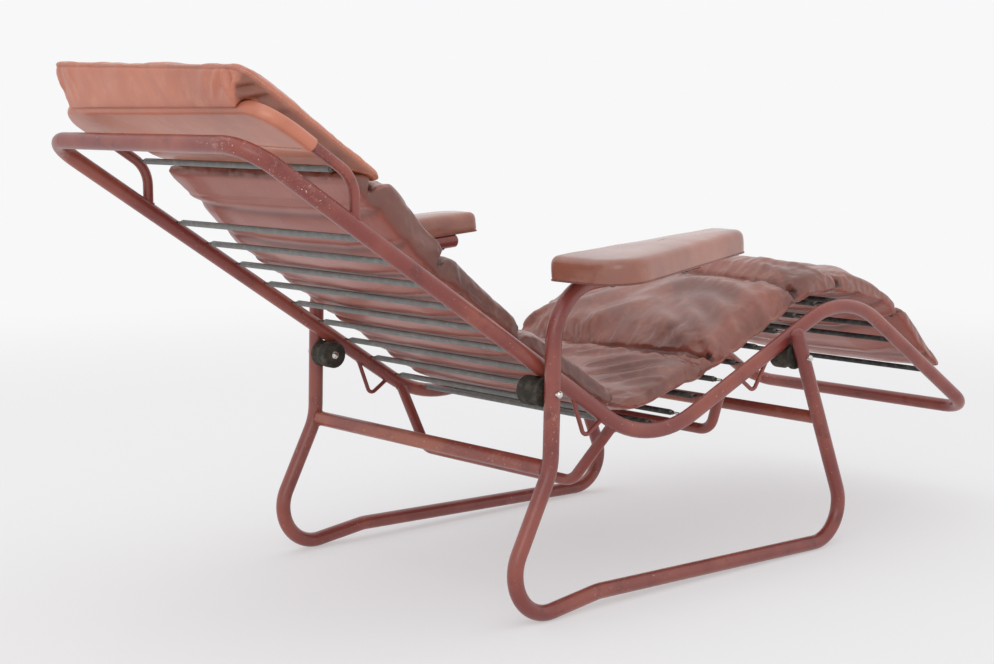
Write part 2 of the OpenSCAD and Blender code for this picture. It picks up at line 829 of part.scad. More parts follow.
module roller_nuts() {
    color("silver")
        for (p = [front_axle, rear_axle], m = [0, 1])
            mirror([m, 0, 0])
                translate([side_x + tube_r, p.x, p.y])
                    rotate([0, 90, 0])
                        difference() {
                            union() {
                                cylinder(h = nut_face_t, r = cap_nut_d / 2);
                                translate([0, 0, nut_face_t])
                                    dome(cap_nut_d / 2, nut_rise);
                            }
                            translate([0, 0, -overrun])
                                cylinder(h = nut_face_t + overrun, r = bolt_r);
                        }
}

module roller_rear_left() { roller_at(1, rear_axle); }
module roller_rear_right() { roller_at(-1, rear_axle); }
module roller_front_left() { roller_at(1, front_axle); }
module roller_front_right() { roller_at(-1, front_axle); }
module bush_rear_left() { bush_at(1, rear_axle); }
module bush_rear_right() { bush_at(-1, rear_axle); }
module bush_front_left() { bush_at(1, front_axle); }
module bush_front_right() { bush_at(-1, front_axle); }

// Soft pieces: a ring across X at each station, with a rounded edge, a crown and raised bottom edges
edge_turns = [0, 30, 60];
span_shares = [-0.86, -0.5, 0, 0.5, 0.86];

// One side of a ring: its height above a middle line, as a share of the edge's rounding
function half_ring(w, mid_edge, mid_face, edge_h, edge_r) = concat(
    [for (q = edge_turns) [-w + edge_r * (1 - cos(q)), mid_edge + edge_h * sin(q)]],
    [for (k = span_shares)
        [(w - edge_r) * k, mid_edge + edge_h + (mid_face - mid_edge - edge_h) * (1 - k * k * abs(k))]],
    [for (i = [len(edge_turns) - 1 : -1 : 0])
        [w - edge_r * (1 - cos(edge_turns[i])), mid_edge + edge_h * sin(edge_turns[i])]]);

function inner_part(list) = [for (i = [1 : len(list) - 2]) list[i]];
function reversed(list) = [for (i = [len(list) - 1 : -1 : 0]) list[i]];

// A ring from low to high at the middle, whose edge runs from edge_low over the rim to edge_high
function soft_ring(w, low, high, edge_low, rim, edge_high) =
    let (r = min((edge_high - edge_low) / 2, w / 2))
    concat(half_ring(w, rim, high, edge_high - rim, r),
        reversed(inner_part(half_ring(w, rim, low, edge_low - rim, r))));
// The same ring drawn in toward the height tip, as a piece's end does
function end_ring(w, tip, fill, heights) =
    let (h = [for (v = heights) tip + (v - tip) * fill])
    soft_ring(w, h[0], h[1], h[2], h[3], h[4]);

// Value between table rows of [place, value], smoothed
function ease(x) = x * x * (3 - 2 * x);
function look_up(x, rows, i = 0) =
    x <= rows[0][0] ? rows[0][1] :
    i >= len(rows) - 1 ? rows[len(rows) - 1][1] :
    x < rows[i + 1][0] ?
        rows[i][1] + (rows[i + 1][1] - rows[i][1]) * ease((x - rows[i][0]) / (rows[i + 1][0] - rows[i][0])) :
    look_up(x, rows, i + 1);

// How far a seam pulls in, 1 on the seam and 0 a seam's width away
seam_reach = 34;
function seam_pull(s, seams) = max([for (q = seams) let (d = abs(s - q) / seam_reach) d >= 1 ? 0 : (1 - d) * (1 - d)]);
// How full a piece is near its ends, from 0 at the end to 1
function end_fill(d, reach) = d >= reach ? 1 : sqrt(1 - (1 - d / reach) * (1 - d / reach));

mattress_lift = spring_lift + sheath_d / 2 + seat_gap;
seam_depth = 14;
seam_draw = 5;
end_reach = 26;
channel_shares = [0, 0.06, 0.14, 0.3, 0.5, 0.7, 0.86, 0.94];

// Stations along a run between its ends and seams
function stations(from, to, seams) =
    let (marks = concat([from], seams, [to]))
    concat([for (i = [0 : len(marks) - 2], k = channel_shares) marks[i] + (marks[i + 1] - marks[i]) * k], [to]);

// Back section of the mattress, along the back run
back_foot_run = 76;
back_seam_1_run = 310;
back_seam_2_run = 505;
back_tail_len = 51;
back_seam_3_run = mattress_head_run - back_tail_len;
back_seams = [back_seam_1_run, back_seam_2_run, back_seam_3_run];
back_tip_lift = 46;
back_head_rise = 48;
back_high_t = 62;
back_tuck_t = 44;
back_head_t = 10;
back_edge_low_share = 0.2;
back_rim_share = 0.42;
back_edge_high_share = 0.88;
back_rise_len = 174;
back_high_len = 79;
back_rise_power = 1.4;
back_rise_run = mattress_head_run - back_rise_len;
fold_offset_reach = fold_trim;
function fold_offset(s) = s >= fold_offset_reach ? 0 : pow(fold_offset_reach - s, 2) / (2 * fold_bend_r - mattress_t);
function back_low(s) = mattress_lift + fold_offset(s)
    + back_head_rise * pow(max(0, (s - back_rise_run) / back_rise_len), back_rise_power);
function back_t(s) = look_up(s, [[back_seam_1_run, mattress_t], [back_rise_run, back_high_t],
    [mattress_head_run - back_high_len, back_high_t], [back_seam_3_run, back_tuck_t],
    [mattress_head_run, back_head_t]]);

module mattress_back() {
    places = stations(back_foot_run, mattress_head_run, back_seams);
    rings = [for (s = places)
        let (fill = max(end_fill(min(s - back_foot_run, mattress_head_run - s), end_reach), 0.12),
            pull = seam_pull(s, back_seams), low = back_low(s),
            t = back_t(s) * (1 - seam_depth * pull / mattress_t),
            tip = s < (back_foot_run + mattress_head_run) / 2 ? back_tip_lift : low + t / 2,
            w = (mattress_half_w - seam_draw * pull) * (1 - 0.05 * (1 - fill)))
        [for (p = end_ring(w, tip, fill, [low, low + t, low + t * back_edge_low_share, low + t * back_rim_share,
            low + t * back_edge_high_share]))
            let (q = back_at(s, p.y)) [p.x, q.x, q.y]]];
    color("tan") skin(rings, true);
}

// Seat section of the mattress, from the fold over the knee to the calf, by its place from the fold
seat_seam_1_run = 202;
seat_seam_2_run = 456;
seat_seam_3_run = 554;
seat_seam_4_run = 728;
seat_seams = [seat_seam_1_run, seat_seam_2_run, seat_seam_3_run, seat_seam_4_run];
seat_foot_run = fold_trim - calf_u(mattress_foot_run) - fold_half_arc;
seat_head_run = 6;
seat_fold_t = 48;
seat_rear_t = 50;
seat_full_t = 64;
seat_rise_share = 0.16;
knee_full_t = 62;
calf_full_t = 72;
foot_full_t = 26;
foot_rise = 22;
foot_rise_len = 130;
knee_slack = 1.2;
seat_depth = 17;
rim_rise_fold = 28;
rim_rise_high = 35;
rim_rise_seam = 11;
rim_rise_least = 9;
rim_rise_knee = 15;
rim_rise_calf = 58;
rim_rise_foot = 8;
rim_depth = 9;
rim_most_share = 0.9;
seat_edge_high_share = 0.82;
calf_edge_high_share = 0.62;
function seat_u(s) = fold_trim - s - fold_half_arc;
function seat_at(s, t) = s < fold_trim ? thigh_at(s, t) : line_at(seat_u(s), t);
function seat_low(s) = mattress_lift + fold_offset(s)
    + (s > fold_trim + thigh_flat - seam_reach && s < fold_trim + thigh_flat + knee_arc + seam_reach ? knee_slack : 0)
    + look_up(s, [[seat_foot_run - foot_rise_len, 0], [seat_foot_run, foot_rise]]);
function seat_t(s) = look_up(s, [[seat_head_run, seat_fold_t], [seat_seam_1_run / 2, seat_rear_t],
    [seat_seam_1_run, seat_rear_t],
    [seat_seam_1_run + (seat_seam_2_run - seat_seam_1_run) * seat_rise_share, seat_full_t],
    [(seat_seam_1_run + seat_seam_2_run) / 2, seat_full_t], [(seat_seam_2_run + seat_seam_3_run) / 2, knee_full_t],
    [seat_seam_3_run, knee_full_t], [(seat_seam_3_run + seat_seam_4_run) / 2, calf_full_t],
    [seat_foot_run - foot_rise_len, calf_full_t], [seat_foot_run, foot_full_t]]);
function rim_rise(s) = look_up(s, [[seat_head_run, rim_rise_fold], [seat_seam_1_run / 2, rim_rise_high],
    [seat_seam_1_run, rim_rise_seam], [seat_seam_2_run, rim_rise_least], [seat_seam_3_run, rim_rise_knee],
    [seat_seam_4_run, rim_rise_calf], [seat_foot_run, rim_rise_foot]]);
function edge_high_share(s) = look_up(s, [[seat_seam_2_run, seat_edge_high_share],
    [seat_seam_3_run, calf_edge_high_share]]);

module mattress_seat() {
    places = stations(seat_head_run, seat_foot_run, seat_seams);
    rings = [for (s = places)
        let (fill = max(end_fill(min(s - seat_head_run, seat_foot_run - s), end_reach), 0.12),
            pull = seam_pull(s, seat_seams), low = seat_low(s), high = low + seat_t(s) - seat_depth * pull,
            rim = low + min(rim_rise(s), (high - low) * rim_most_share),
            w = (mattress_half_w - seam_draw * pull) * (1 - 0.05 * (1 - fill)))
        [for (p = end_ring(w, (low + high) / 2, fill, [low, high, max((low + rim) / 2, rim - rim_depth), rim,
            rim + (high - rim) * edge_high_share(s)]))
            let (q = seat_at(s, p.y)) [p.x, q.x, q.y]]];
    color("tan") skin(rings, false);
}

// Head pillow, over the hoop, with a slanted upper end
sleeve_t = 1.6;
sleeve_top_run = hoop_top_run + hoop_r + seat_gap + sleeve_t;
pillow_rim_0 = 94;
pillow_rim_1 = 98;
pillow_crown = 20;
pillow_tuck_lift = 84;
pillow_low_lift = hoop_lift + hoop_r + 2 * seat_gap + sleeve_t;
pillow_tuck_len = 108;
pillow_tuck_run = pillow_foot_run + pillow_tuck_len;
pillow_heel_run = sleeve_top_run + seat_gap;
pillow_heel_lift = hoop_lift - hoop_r;
pillow_heel_step = 0.6;
pillow_places_shares = [0, 0.03, 0.09, 0.2, 0.35, 0.5, 0.65, 0.8, 0.92, 1];
pillow_end_shares = [0.3, 0.6, 0.85, 1];
pillow_narrow = 6;
pillow_end_t = 7;
pillow_places = concat([for (k = pillow_places_shares) pillow_foot_run + (pillow_heel_run - pillow_foot_run) * k],
    [pillow_heel_run + pillow_heel_step],
    [for (k = pillow_end_shares) pillow_heel_run + (pillow_head_run - pillow_heel_run) * k]);
function pillow_low(s) = s <= pillow_heel_run ? look_up(s, [[pillow_foot_run, pillow_tuck_lift],
    [mattress_head_run + seam_draw, pillow_tuck_lift], [pillow_tuck_run, pillow_low_lift]]) :
    pillow_heel_lift + (pillow_rim_1 - pillow_end_t - pillow_heel_lift)
        * (s - pillow_heel_run) / (pillow_head_run - pillow_heel_run);

module head_pillow() {
    rings = [for (s = pillow_places)
        let (share = (s - pillow_foot_run) / pillow_len,
            fill = max(end_fill(s - pillow_foot_run, end_reach), 0.12),
            crown = pillow_crown * sin(180 * min(1, share * 0.5 + 0.45)) * end_fill(pillow_head_run - s, 2 * end_reach),
            rim = pillow_rim_0 + (pillow_rim_1 - pillow_rim_0) * share,
            low = pillow_low(s), high = rim + crown,
            w = pillow_half_w - pillow_narrow * sin(180 * share))
        [for (p = end_ring(w, (rim + low) / 2, fill, [low, high, low + (rim - low) * 0.2, rim, rim + crown * 0.4]))
            let (q = back_at(s, p.y)) [p.x, q.x, q.y]]];
    color("tan") skin(rings, true);
}

// Pillow sleeve: a pocket under the pillow that the hoop slides into

module pocket_face(half_w, foot, top, r) {
    translate([-half_w, foot])
        square([2 * half_w, top - foot - r]);
    translate([r - half_w, foot])
        square([2 * (half_w - r), top - foot]);
    for (x = [r - half_w, half_w - r])
        intersection() {
            translate([x, top - r])
                circle(r);
            translate([-half_w, foot])
                square([2 * half_w, top - foot]);
        }
}

module pillow_sleeve() {
    out_r = hoop_r + seat_gap;
    color("darksalmon")
        slope_plane(back_at(0, hoop_lift), back_slope)
            difference() {
                translate([0, 0, -out_r - sleeve_t])
                    linear_extrude(2 * (out_r + sleeve_t))
                        pocket_face(loop_half_w + out_r + sleeve_t, sleeve_foot_run, sleeve_top_run,
                            hoop_bend_r + out_r + sleeve_t);
                translate([0, 0, -out_r])
                    linear_extrude(2 * out_r)
                        pocket_face(loop_half_w + out_r, sleeve_foot_run - overrun, sleeve_top_run - sleeve_t,
                            hoop_bend_r + out_r);
            }
}

BACK_SPRINGS = [for (k = [1 : back_spring_count]) str("back_spring_", k)];
SEAT_SPRINGS = [for (k = [2 : seat_spring_count]) str("seat_spring_", k)];

side_frame_left();
side_frame_right();
rear_crossbar();
front_crossbar();
tube_plugs();
arm_board_left();
arm_board_right();
arm_pad_left();
arm_pad_right();
arm_screws();
roller_bolts();
roller_washers();
roller_nuts();
roller_rear_left();
roller_rear_right();
roller_front_left();
roller_front_right();
bush_rear_left();
bush_rear_right();
bush_front_left();
bush_front_right();
main_loop();
headrest_hoop();
rear_brace();
front_brace();
rear_stop_left();
rear_stop_right();
front_stop_left();
front_stop_right();
color("dimgray") line_spring(seat_spring_places[0]);  // fold_spring
for (k = [1 : back_spring_count])
    color("slategray") line_spring(back_spring_places[k - 1]);
for (k = [2 : seat_spring_count])
    color("dimgray") line_spring(seat_spring_places[k - 1]);
color("dimgray") line_spring(calf_spring_places[0]);  // calf_spring_1
color("dimgray") line_spring(calf_spring_places[1]);  // calf_spring_2
color("dimgray") line_spring(calf_spring_places[2]);  // calf_spring_3
color("slategray") hoop_spring(hoop_spring_1_run);  // headrest_spring_1
color("slategray") hoop_spring(hoop_spring_2_run);  // headrest_spring_2
mattress_back();
mattress_seat();
head_pillow();
pillow_sleeve();
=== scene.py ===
import math

import bpy
import numpy as np
from mathutils import Matrix, Vector, noise


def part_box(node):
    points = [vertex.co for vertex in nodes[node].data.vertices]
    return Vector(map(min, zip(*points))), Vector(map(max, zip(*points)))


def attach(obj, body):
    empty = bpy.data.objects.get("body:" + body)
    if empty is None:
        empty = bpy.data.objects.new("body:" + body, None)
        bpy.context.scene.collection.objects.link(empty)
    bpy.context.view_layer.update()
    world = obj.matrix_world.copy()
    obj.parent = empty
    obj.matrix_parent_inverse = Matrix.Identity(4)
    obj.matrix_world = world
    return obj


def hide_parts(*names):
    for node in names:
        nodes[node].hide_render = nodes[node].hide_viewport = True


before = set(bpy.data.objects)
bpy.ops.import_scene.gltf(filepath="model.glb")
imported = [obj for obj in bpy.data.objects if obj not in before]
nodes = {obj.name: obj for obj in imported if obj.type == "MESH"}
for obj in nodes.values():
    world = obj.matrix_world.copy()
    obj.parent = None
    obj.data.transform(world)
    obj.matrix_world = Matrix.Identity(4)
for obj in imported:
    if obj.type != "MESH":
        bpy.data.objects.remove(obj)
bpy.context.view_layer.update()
MM = 0.001

# The lounge frame's side line, in metres and degrees, as in the solid model
BACK_SLOPE = 33.4
THIGH_SLOPE = 23.4
CALF_SLOPE = 33.2
FOLD = np.array([74.36, 227.0]) * MM
THIGH_RUN = 549.5 * MM
FOLD_BEND = 212 * MM
KNEE_BEND = 200 * MM
TUBE_R = 12.5 * MM
LOOP_HALF_W = 272 * MM
SPRING_LIFT = 7 * MM


def heading(degrees):
    return np.array([math.cos(math.radians(degrees)), math.sin(math.radians(degrees))])


BACK_DIR, BACK_UP = heading(BACK_SLOPE), heading(BACK_SLOPE + 90)
THIGH_DIR, THIGH_UP = heading(180 - THIGH_SLOPE), heading(90 - THIGH_SLOPE)
CALF_DIR, CALF_UP = heading(180 + CALF_SLOPE), heading(90 + CALF_SLOPE)
KNEE = FOLD + THIGH_DIR * THIGH_RUN
FOLD_HALF = math.radians((BACK_SLOPE + THIGH_SLOPE) / 2)
KNEE_HALF = math.radians((THIGH_SLOPE + CALF_SLOPE) / 2)
FOLD_TRIM = FOLD_BEND * math.tan(FOLD_HALF)
KNEE_TRIM = KNEE_BEND * math.tan(KNEE_HALF)
FOLD_HALF_ARC = FOLD_BEND * FOLD_HALF
KNEE_ARC = 2 * KNEE_BEND * KNEE_HALF
THIGH_FLAT = THIGH_RUN - FOLD_TRIM - KNEE_TRIM
FOLD_MID = (BACK_SLOPE - THIGH_SLOPE) / 2
KNEE_MID = (CALF_SLOPE - THIGH_SLOPE) / 2
FOLD_CENTRE = FOLD + heading(FOLD_MID + 90) * FOLD_BEND / math.cos(FOLD_HALF)
KNEE_CENTRE = KNEE - heading(KNEE_MID + 90) * KNEE_BEND / math.cos(KNEE_HALF)


def back_at(s, t):
    return FOLD + BACK_DIR * s + BACK_UP * t


def thigh_at(s, t):
    return FOLD + THIGH_DIR * s + THIGH_UP * t


def on_line(u, t):
    """A place on the side line and the slope there: u from the middle of the fold toward the head,
    t above the tube's middle."""
    knee_u = -u - FOLD_HALF_ARC - THIGH_FLAT
    if u >= FOLD_HALF_ARC:
        return back_at(FOLD_TRIM + u - FOLD_HALF_ARC, t), BACK_SLOPE
    if u > -FOLD_HALF_ARC:
        slope = FOLD_MID + math.degrees(u / FOLD_BEND)
        return FOLD_CENTRE - heading(slope + 90) * (FOLD_BEND - t), slope
    if knee_u <= 0:
        return thigh_at(FOLD_TRIM - u - FOLD_HALF_ARC, t), -THIGH_SLOPE
    if knee_u < KNEE_ARC:
        slope = -THIGH_SLOPE + math.degrees(knee_u / KNEE_BEND)
        return KNEE_CENTRE + heading(slope + 90) * (KNEE_BEND + t), slope
    return KNEE + CALF_DIR * (KNEE_TRIM + knee_u - KNEE_ARC) + CALF_UP * t, CALF_SLOPE


def calf_u(s):
    return -(s - KNEE_TRIM + KNEE_ARC + FOLD_HALF_ARC + THIGH_FLAT)


# Finishes


class Field:
    """A value that varies over a surface. Python's operators on it add the Math nodes."""

    def __init__(self, finish, socket):
        self.finish, self.socket = finish, socket

    def math(self, operation, *values):
        return self.finish.node("Math", {"operation": operation}, dict(enumerate(values)))

    def __add__(self, other):
        return self.math("ADD", self, other)

    def __sub__(self, other):
        return self.math("SUBTRACT", self, other)

    def __rsub__(self, other):
        return self.math("SUBTRACT", other, self)

    def __mul__(self, other):
        return self.math("MULTIPLY", self, other)

    __radd__, __rmul__ = __add__, __mul__

    def over(self, low, high):
        """0 below low, 1 above high, and a smooth step between them."""
        return self.finish.node(
            "MapRange",
            {"interpolation_type": "SMOOTHSTEP"},
            {"Value": self, "From Min": low, "From Max": high},
        )


class Finish:
    """A material's node tree. node() makes any node from its settings and its sockets' values or links."""

    def __init__(self, name):
        self.material = bpy.data.materials.new(name)
        self.material.use_nodes = True
        self.tree = self.material.node_tree
        self.tree.nodes.clear()
        self.place = self.node("TexCoord", out="Object")

    def node(self, kind, settings=None, inputs=None, out=0):
        made = self.tree.nodes.new("ShaderNode" + kind)
        for name, value in (settings or {}).items():
            setattr(made, name, value)
        for name, value in (inputs or {}).items():
            if isinstance(value, Field):
                self.tree.links.new(value.socket, made.inputs[name])
            else:
                made.inputs[name].default_value = value
        return Field(self, made.outputs[out])

    def stretched(self, scale, turn=(0, 0, 0)):
        """The surface's place, turned and then stretched, for a pattern that runs one way."""
        turned = self.node(
            "Mapping", {"vector_type": "POINT"},
            {"Vector": self.place, "Rotation": tuple(math.radians(a) for a in turn)},
        )
        return self.node("Mapping", {}, {"Vector": turned, "Scale": scale})

    def noise(self, scale, detail=3.0, roughness=0.5, place=None, distortion=0.0):
        return self.node("TexNoise", {}, {
            "Vector": place or self.place, "Scale": scale, "Detail": detail,
            "Roughness": roughness, "Distortion": distortion,
        })

    def cells(self, scale, place=None, feature="DISTANCE_TO_EDGE"):
        return self.node(
            "TexVoronoi", {"feature": feature}, {"Vector": place or self.place, "Scale": scale})

    def near(self, point, reach):
        """1 at a point of the object, falling to 0 at reach."""
        gap = self.node(
            "VectorMath", {"operation": "DISTANCE"}, {0: self.place, 1: tuple(point)}, out="Value")
        return 1 - gap.over(0, reach)

    def mix(self, mask, a, b):
        """Colour a where the mask is 0, and b where it is 1."""
        return self.node("Mix", {"data_type": "RGBA"}, {"Factor": mask, 6: a, 7: b}, out=2)

    def bump(self, height, distance, strength=1.0, normal=None):
        inputs = {"Height": height, "Distance": distance, "Strength": strength}
        if normal:
            inputs["Normal"] = normal
        return self.node("Bump", {}, inputs)

    def surface(self, **inputs):
        named = {k.replace("_", " ").title().replace("Ior", "IOR"): v for k, v in inputs.items()}
        shader = self.node("BsdfPrincipled", {}, named)
        return self.ends_in(shader)

    def ends_in(self, shader):
        end = self.tree.nodes.new("ShaderNodeOutputMaterial")
        self.tree.links.new(shader.socket, end.inputs["Surface"])
        return self.material


def tone(r, g, b):
    """A colour given as it looks on screen, 0 to 255, in the renderer's own linear values."""
    def lin(c):
        c = c / 255
        return c / 12.92 if c <= 0.04045 else ((c + 0.055) / 1.055) ** 2.4
    return (lin(r), lin(g), lin(b), 1)


def worn_paint(name, base, warm, dark, worn_spots, wear=0.5):
    """Old brushed enamel on steel: patches of tone, rubbed streaks, and chips down to primer and rust."""
    f = Finish(name)
    cloud = f.noise(7, 4, 0.55)
    patches = f.noise(26, 5, 0.6)
    colour = f.mix(cloud.over(0.42, 0.68), base, warm)
    colour = f.mix(patches.over(0.54, 0.74) * 0.6, colour, dark)
    rub = f.noise(3.1, 2).over(0.45, 0.62) * wear
    for point, reach in worn_spots:
        rub = rub + f.near(point, reach)
    rub = rub.math("MINIMUM", rub, 1.2)
    streaks = f.noise(95, 6, 0.75, f.stretched((0.35, 1, 1), (0, 0, 15)), 0.3) + rub * 0.07
    scuff = streaks.over(0.63, 0.72) * 0.55
    specks = f.noise(330, 5, 0.65) + rub * 0.05
    chips = specks.over(0.675, 0.7)
    flecks = (f.noise(640, 3, 0.7, f.stretched((0.5, 1, 1))) + rub * 0.06).over(0.7, 0.74)
    colour = f.mix(scuff, colour, tone(172, 120, 108))
    colour = f.mix(flecks * 0.6, colour, tone(186, 146, 134))
    inside = f.mix(f.noise(150, 3).over(0.42, 0.6), tone(206, 182, 166), tone(92, 50, 36))
    colour = f.mix(chips, colour, inside)
    rough = 0.27 + patches * 0.16 + chips * 0.3 + scuff * 0.2
    height = f.noise(45, 3, 0.5) * 0.5 + f.noise(420, 2) * 0.2 - chips * 0.6
    return f.surface(
        base_color=colour, roughness=rough, normal=f.bump(height, 0.0004, 0.3),
        coat_weight=0.25, coat_roughness=0.2, specular_ior_level=0.5,
    )


def soft_leather(name, base, dark, light, rub=0.5, gloss=0.3, creased=1.0, lit_underside=None):
    """Supple old leather: cloudy dye, fine pores and creases, painted shade with some grime in its seams and
    other marked places, a painted lighter underside when lit_underside is given, and a broad soft sheen.
    """
    f = Finish(name)
    cloud = f.noise(5, 5, 0.6, distortion=0.6)
    mottled = f.noise(28, 5, 0.6)
    colour = f.mix(cloud.over(0.38, 0.7), base, dark)
    colour = f.mix(mottled.over(0.48, 0.78) * rub, colour, light)
    pores = f.cells(620)
    wrinkle = f.noise(120, 6, 0.68, f.stretched((0.35, 1, 1)), 0.8)
    creases = f.cells(85, f.stretched((0.5, 1, 1), (0, 0, 20)))
    crack = 1 - creases.over(0.0, 0.04)
    colour = f.mix(crack * mottled.over(0.45, 0.62) * 0.22 * creased, colour, dark)
    # A painted lighter colour on the underside, where the under mask is set, standing in for light from the
    # floor below
    if lit_underside:
        under = f.node("Attribute", {"attribute_name": "under"}, out="Fac")
        colour = f.mix(under * 0.75, colour, lit_underside)
    # Painted shade with some grime: the points' values darken the leather and make it rougher
    shade_and_grime = f.node("Attribute", {"attribute_name": "shade_and_grime"}, out="Fac")
    colour = f.mix(shade_and_grime.over(0.1, 0.95) * 0.9, colour, tone(40, 18, 16))
    rough = 0.32 + cloud * 0.12 + wrinkle * 0.08 + shade_and_grime * 0.25
    fine = f.bump(pores * 0.5 + wrinkle * 0.7, 0.0003, 0.4)
    broad = f.bump(f.noise(20, 3, 0.5, f.stretched((0.5, 1, 1))), 0.002, 0.22 * creased, fine)
    return f.surface(
        base_color=colour, roughness=rough, normal=broad, specular_ior_level=0.55,
        coat_weight=gloss, coat_roughness=0.2,
    )


def spring_cover(name, base, dusty):
    """A plastic sleeve with dust on it and faint ribs from the wire inside."""
    f = Finish(name)
    dust = f.noise(70, 5, 0.65)
    colour = f.mix(dust.over(0.4, 0.72), base, dusty)
    scrape = f.noise(300, 4, 0.7, f.stretched((0.12, 1, 1)))
    colour = f.mix(scrape.over(0.62, 0.75) * 0.4, colour, dusty)
    ribs = f.node(
        "TexWave", {"wave_type": "BANDS", "bands_direction": "X"},
        {"Vector": f.place, "Scale": 130})
    height = ribs * 0.5 + scrape * 0.6
    return f.surface(
        base_color=colour, roughness=0.42 + dust * 0.3, normal=f.bump(height, 0.0002, 0.4),
        specular_ior_level=0.4,
    )


def old_rubber(name):
    """Grey-black rubber gone dull and dusty."""
    f = Finish(name)
    patch = f.noise(60, 5, 0.65)
    colour = f.mix(patch.over(0.4, 0.7), tone(44, 41, 36), tone(84, 78, 66))
    grit = f.noise(420, 4, 0.7)
    colour = f.mix(grit.over(0.55, 0.7) * 0.6, colour, tone(36, 33, 28))
    return f.surface(
        base_color=colour, roughness=0.62 + patch * 0.25, normal=f.bump(grit + patch, 0.0005, 0.6),
        specular_ior_level=0.35,
    )


def steel(name, base, stained, rough):
    """Bare or plated steel with tarnish in patches."""
    f = Finish(name)
    keep_point_value = f.noise(150, 5, 0.6)
    mask = keep_point_value.over(0.5, 0.72)
    return f.surface(
        base_color=f.mix(mask, base, stained), metallic=1.0, roughness=rough + mask * 0.3,
        normal=f.bump(f.noise(900, 2), 0.0001, 0.3),
    )


def thread(name):
    """Pale sewing thread."""
    f = Finish(name)
    ply = f.noise(900, 2)
    colour = f.mix(ply.over(0.4, 0.7), tone(206, 172, 152), tone(150, 104, 90))
    return f.surface(base_color=colour, roughness=0.75, normal=f.bump(ply, 0.0001, 0.5))


# Places where hands and feet have rubbed the paint, each with its reach
FRAME_WORN = [
    ((-0.235, *back_at(0.9, 0.012)), 0.14),
    ((-0.272, *back_at(0.8, 0.012)), 0.10),
    ((0.272, *back_at(0.88, 0)), 0.07),
]
BASE_WORN = [((-0.301, 0.30, 0.30), 0.10), ((-0.301, 0.42, 0.06), 0.06)]
BAR_WORN = [((-0.2, 0.32, 0.232), 0.16)]

FRAME_PAINT = worn_paint(
    "oxblood_enamel", tone(126, 54, 47), tone(146, 74, 60), tone(84, 35, 31), FRAME_WORN)
BASE_PAINT = worn_paint(
    "oxblood_enamel_base", tone(122, 54, 48), tone(142, 72, 60), tone(84, 38, 34), BASE_WORN)
BAR_PAINT = worn_paint(
    "oxblood_enamel_rusty", tone(132, 62, 52), tone(156, 84, 62), tone(92, 44, 38), BAR_WORN, 0.8)
# The mattress leather's underside colour is a painted lighter underside, as if lit from the floor below
MATTRESS_LEATHER = soft_leather(
    "mattress_leather", tone(140, 82, 68), tone(102, 56, 46), tone(170, 110, 92), gloss=0.45,
    lit_underside=tone(160, 80, 64))
# The pillow's leather is lighter than the mattress's: partly its own lighter leather, partly a painted sheen
PILLOW_LEATHER = soft_leather(
    "pillow_leather", tone(194, 116, 88), tone(172, 102, 80), tone(208, 142, 112), rub=0.4, creased=0.6)
ARM_LEATHER = soft_leather(
    "arm_leather", tone(156, 92, 70), tone(132, 75, 57), tone(174, 114, 92), rub=0.35, gloss=0.9, creased=0.4)
GREY_SHEATH = spring_cover("grey_sheath", tone(112, 114, 112), tone(134, 134, 130))
BLACK_SHEATH = spring_cover("black_sheath", tone(44, 46, 46), tone(86, 86, 82))
RUBBER = old_rubber("roller_rubber")
SPRING_WIRE = steel("spring_wire", tone(120, 116, 108), tone(70, 62, 54), 0.35)
CAP_STEEL = steel("cap_steel", tone(214, 212, 206), tone(170, 164, 154), 0.18)
ZINC = steel("zinc_steel", tone(160, 158, 152), tone(110, 100, 88), 0.35)
BUSH_STEEL = steel("bush_steel", tone(150, 148, 144), tone(96, 84, 72), 0.3)
PIPING_LEATHER = soft_leather("piping_leather", tone(128, 72, 62), tone(98, 52, 46), tone(160, 104, 90))
THREAD = thread("pale_thread")

CAD_FINISHES = {
    "rear_crossbar": BAR_PAINT, "front_crossbar": BAR_PAINT, "tube_plugs": BASE_PAINT, "arm_screws": ZINC,
    "roller_bolts": CAP_STEEL, "roller_washers": ZINC, "roller_nuts": CAP_STEEL,
    "main_loop": FRAME_PAINT, "headrest_hoop": FRAME_PAINT,
}
for side in ("left", "right"):
    CAD_FINISHES["side_frame_" + side] = BASE_PAINT
    CAD_FINISHES["arm_board_" + side] = ARM_LEATHER
for end in ("rear", "front"):
    CAD_FINISHES[end + "_brace"] = FRAME_PAINT
    for side in ("left", "right"):
        CAD_FINISHES[f"{end}_stop_{side}"] = FRAME_PAINT
        CAD_FINISHES[f"roller_{end}_{side}"] = RUBBER
        CAD_FINISHES[f"bush_{end}_{side}"] = BUSH_STEEL


def linked(name, data):
    """A new piece in the scene."""
    piece = bpy.data.objects.new(name, data)
    bpy.context.scene.collection.objects.link(piece)
    return piece


def dress(piece, finish):
    piece.data.materials.clear()
    piece.data.materials.append(finish)
    return piece


def select_only(piece):
    bpy.ops.object.select_all(action="DESELECT")
    piece.hide_set(False)
    piece.select_set(True)
    bpy.context.view_layer.objects.active = piece


def smooth(piece, degrees=40):
    select_only(piece)
    bpy.ops.object.shade_smooth_by_angle(angle=math.radians(degrees))
    return piece


def edit_all(piece, operator, **settings):
    """Runs one edit-mode operator on the whole of a piece."""
    select_only(piece)
    bpy.ops.object.mode_set(mode="EDIT")
    bpy.ops.mesh.select_all(action="SELECT")
    operator(**settings)
    bpy.ops.object.mode_set(mode="OBJECT")


def apply_modifier(piece, kind, **settings):
    modifier = piece.modifiers.new(kind.lower(), kind)
    for name, value in settings.items():
        setattr(modifier, name, value)
    select_only(piece)
    bpy.ops.object.modifier_apply(modifier=modifier.name)
    return piece


for name, finish in CAD_FINISHES.items():
    dress(nodes[name], finish)


# Wires and tubes along a line of points


